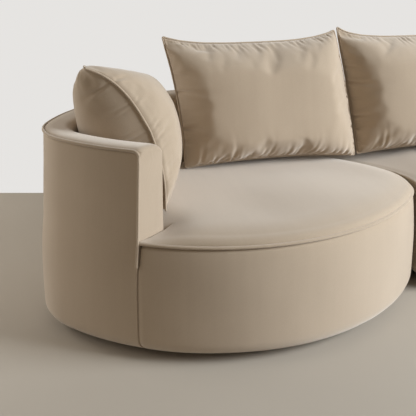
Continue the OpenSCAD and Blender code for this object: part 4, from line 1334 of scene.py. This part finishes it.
class SETTEE_OT_frame_finish(bpy.types.Operator):
    """Give the frame, its fasteners and its feet their finishes"""

    bl_idname = "settee.frame_finish"
    bl_label = "Frame finishes"

    def execute(self, context):
        c = colours()
        finishes = (
            (("base_board", "hoop", "ribs", "seat_ring", "wall_ply"),
             hard_material("birch_plywood", c.plywood, shade=0.72, scale=14, rough=(0.5, 0.7),
                           stretch=(1, 6, 30))),
            (("webbing",),
             hard_material("elastic_webbing", c.webbing, shade=0.7, scale=700, rough=(0.8, 0.95))),
            (("dust_cover",),
             hard_material("underlining_cloth", c.underlining, shade=0.5, scale=900,
                           rough=(0.85, 1.0))),
            (("bolts", "plates", "screws"),
             hard_material("zinc_plated_steel", c.zinc, shade=0.8, scale=220, rough=(0.28, 0.45),
                           metallic=1.0, bump=0.04)),
            (("feet", "glides"),
             hard_material("black_moulding", c.black, shade=0.6, scale=1200, rough=(0.4, 0.55),
                           bump=0.05)),
            (("zip",),
             hard_material("zip_tape", c.zip_tape, shade=0.7, scale=800, rough=(0.6, 0.8))),
        )
        for name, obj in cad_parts.items():
            for ends, material in finishes:
                if name.endswith(ends):
                    obj.data.materials.clear()
                    obj.data.materials.append(material)
        return {"FINISHED"}


def seen_directly(tree):
    """1 for the camera's rays and those that metal and glass pass on, otherwise 0."""
    rays = add_node(tree, "ShaderNodeLightPath", {}).outputs
    seen = rays["Is Camera Ray"]
    for kind in ("Is Glossy Ray", "Is Transmission Ray"):
        seen = maths(tree, "MAXIMUM", seen, rays[kind])
    return seen


def mixed(tree, share, shader, other):
    """A shader that passes into another as the share goes from 0 to 1."""
    return add_node(tree, "ShaderNodeMixShader", {0: share, 1: shader, 2: other}).outputs[0]


def plane(name, material, size, turn, place):
    """A flat sheet of the room; its turn is in degrees."""
    bpy.ops.object.select_all(action="DESELECT")
    bpy.ops.mesh.primitive_plane_add(size=1, location=(0, 0, 0))
    obj = bpy.context.object
    obj.name = name
    obj.scale = (*size, 1)
    obj.rotation_euler = [math.radians(t) for t in turn]
    obj.location = place
    bpy.ops.object.transform_apply(location=True, rotation=True, scale=True)
    obj.data.materials.append(material)
    return obj


def wall_material():
    """A wall that the camera sees evenly pale, and looks through from behind."""
    c = colours()
    material = plain_material("plain_wall", c.wall, rough=0.9)
    tree = material.node_tree
    nodes = tree.nodes
    clear = add_node(tree, "ShaderNodeBsdfTransparent", {}).outputs["BSDF"]
    glow = add_node(tree, "ShaderNodeEmission", {"Color": (*c.backdrop, 1)}).outputs["Emission"]
    pale = mixed(tree, seen_directly(tree), nodes["Principled BSDF"].outputs["BSDF"], glow)
    behind = add_node(tree, "ShaderNodeNewGeometry", {}).outputs["Backfacing"]
    set_inputs(tree, nodes["Material Output"], {"Surface": mixed(tree, behind, pale, clear)})
    return material


def soft_room():
    """A world that lights softly and warmly, and shows the camera the wall's pale colour."""
    world = bpy.data.worlds.new("soft_room")
    world.use_nodes = True
    tree = world.node_tree
    sky = tree.nodes["Background"]
    set_inputs(tree, sky, {"Color": (1.0, 0.84, 0.65, 1), "Strength": 0.19})
    backdrop = (*colours().backdrop, 1)
    pale = add_node(tree, "ShaderNodeBackground", {"Color": backdrop, "Strength": 1.0})
    both = mixed(tree, seen_directly(tree), sky.outputs[0], pale.outputs[0])
    set_inputs(tree, tree.nodes["World Output"], {"Surface": both})
    return world


def add_lamp(name, spot, aim, colour, size, power, spread):
    """A square lamp at a spot, aimed at a point, with its spread in degrees."""
    bpy.ops.object.light_add(type="AREA", location=spot)
    lamp = bpy.context.object
    lamp.name = f"{name}_lamp"
    lamp.data.shape = "SQUARE"
    lamp.data.size = size
    lamp.data.energy = power
    lamp.data.color = colour
    lamp.data.spread = math.radians(spread)
    lamp.rotation_euler = (Vector(aim) - Vector(spot)).to_track_quat("-Z", "Y").to_euler()


def add_camera():
    """The camera fitted to the photograph."""
    bpy.ops.object.camera_add(
        location=CAMERA_AT, rotation=(math.radians(CAMERA_TILT), 0, math.radians(CAMERA_TURN))
    )
    camera = bpy.context.object
    camera.name = "camera"
    camera.data.sensor_width = CAMERA_SENSOR
    camera.data.lens = CAMERA_LENS
    camera.data.shift_y = CAMERA_SHIFT
    return camera


class SETTEE_OT_stage(bpy.types.Operator):
    """Set the floor, the wall, the lamps and the camera"""

    bl_idname = "settee.stage"
    bl_label = "Stage"

    def execute(self, context):
        floor = plane("floor", plain_material("plain_floor", colours().floor, rough=0.75),
                      size=(30, 30), turn=(0, 0, 0), place=(0, 0, -0.0005))
        wall = plane("backdrop", wall_material(),
                     size=(30, 10), turn=(90, 0, CAMERA_TURN), place=(-0.183, 1.123, 4.9))
        seats, arm = (-0.2, 0.0, 0.4), (-0.7, 0.0, 0.6)
        cool, warm = (0.90, 0.955, 1.0), (1.0, 0.96, 0.9)
        add_lamp("key", (4.1, -2.35, 2.45), seats, cool, size=2.4, power=80, spread=75)
        add_lamp("left", (-3.2, 0.2, 1.2), seats, warm, size=1.6, power=16, spread=180)
        add_lamp("rear", (-2.6, 1.2, 1.3), arm, warm, size=0.8, power=12, spread=180)
        scene = context.scene
        scene.world = soft_room()
        scene.camera = add_camera()
        scene.view_settings.view_transform = "Standard"
        return {"FINISHED"}


class SETTEE_PT_panel(bpy.types.Panel):
    """Lists the settee's pieces"""

    bl_label = "Settee"
    bl_idname = "SETTEE_PT_panel"
    bl_space_type = "VIEW_3D"
    bl_region_type = "UI"
    bl_category = "Settee"

    def draw(self, context):
        layout = self.layout
        for operator in OPERATORS:
            layout.operator(operator.bl_idname)
        for group in (shape(), stuffing(), colours()):
            box = layout.box()
            for key in group.__annotations__:
                box.prop(group, key)


OPERATORS = (
    SETTEE_OT_panels, SETTEE_OT_walls, SETTEE_OT_seats, SETTEE_OT_back_cushions,
    SETTEE_OT_side_pillow, SETTEE_OT_frame_finish, SETTEE_OT_stage,
)
CLASSES = (SetteeShape, SetteeCushions, SetteeColours, *OPERATORS, SETTEE_PT_panel)


def register():
    for cls in CLASSES:
        bpy.utils.register_class(cls)
    bpy.types.Scene.settee_shape = bpy.props.PointerProperty(type=SetteeShape)
    bpy.types.Scene.settee_cushions = bpy.props.PointerProperty(type=SetteeCushions)
    bpy.types.Scene.settee_colours = bpy.props.PointerProperty(type=SetteeColours)


def unregister():
    for name in ("settee_shape", "settee_cushions", "settee_colours"):
        delattr(bpy.types.Scene, name)
    for cls in reversed(CLASSES):
        bpy.utils.unregister_class(cls)


def main():
    register()
    for operator in OPERATORS:
        group, name = operator.bl_idname.split(".")
        getattr(getattr(bpy.ops, group), name)()


if __name__ == "__main__":
    main()
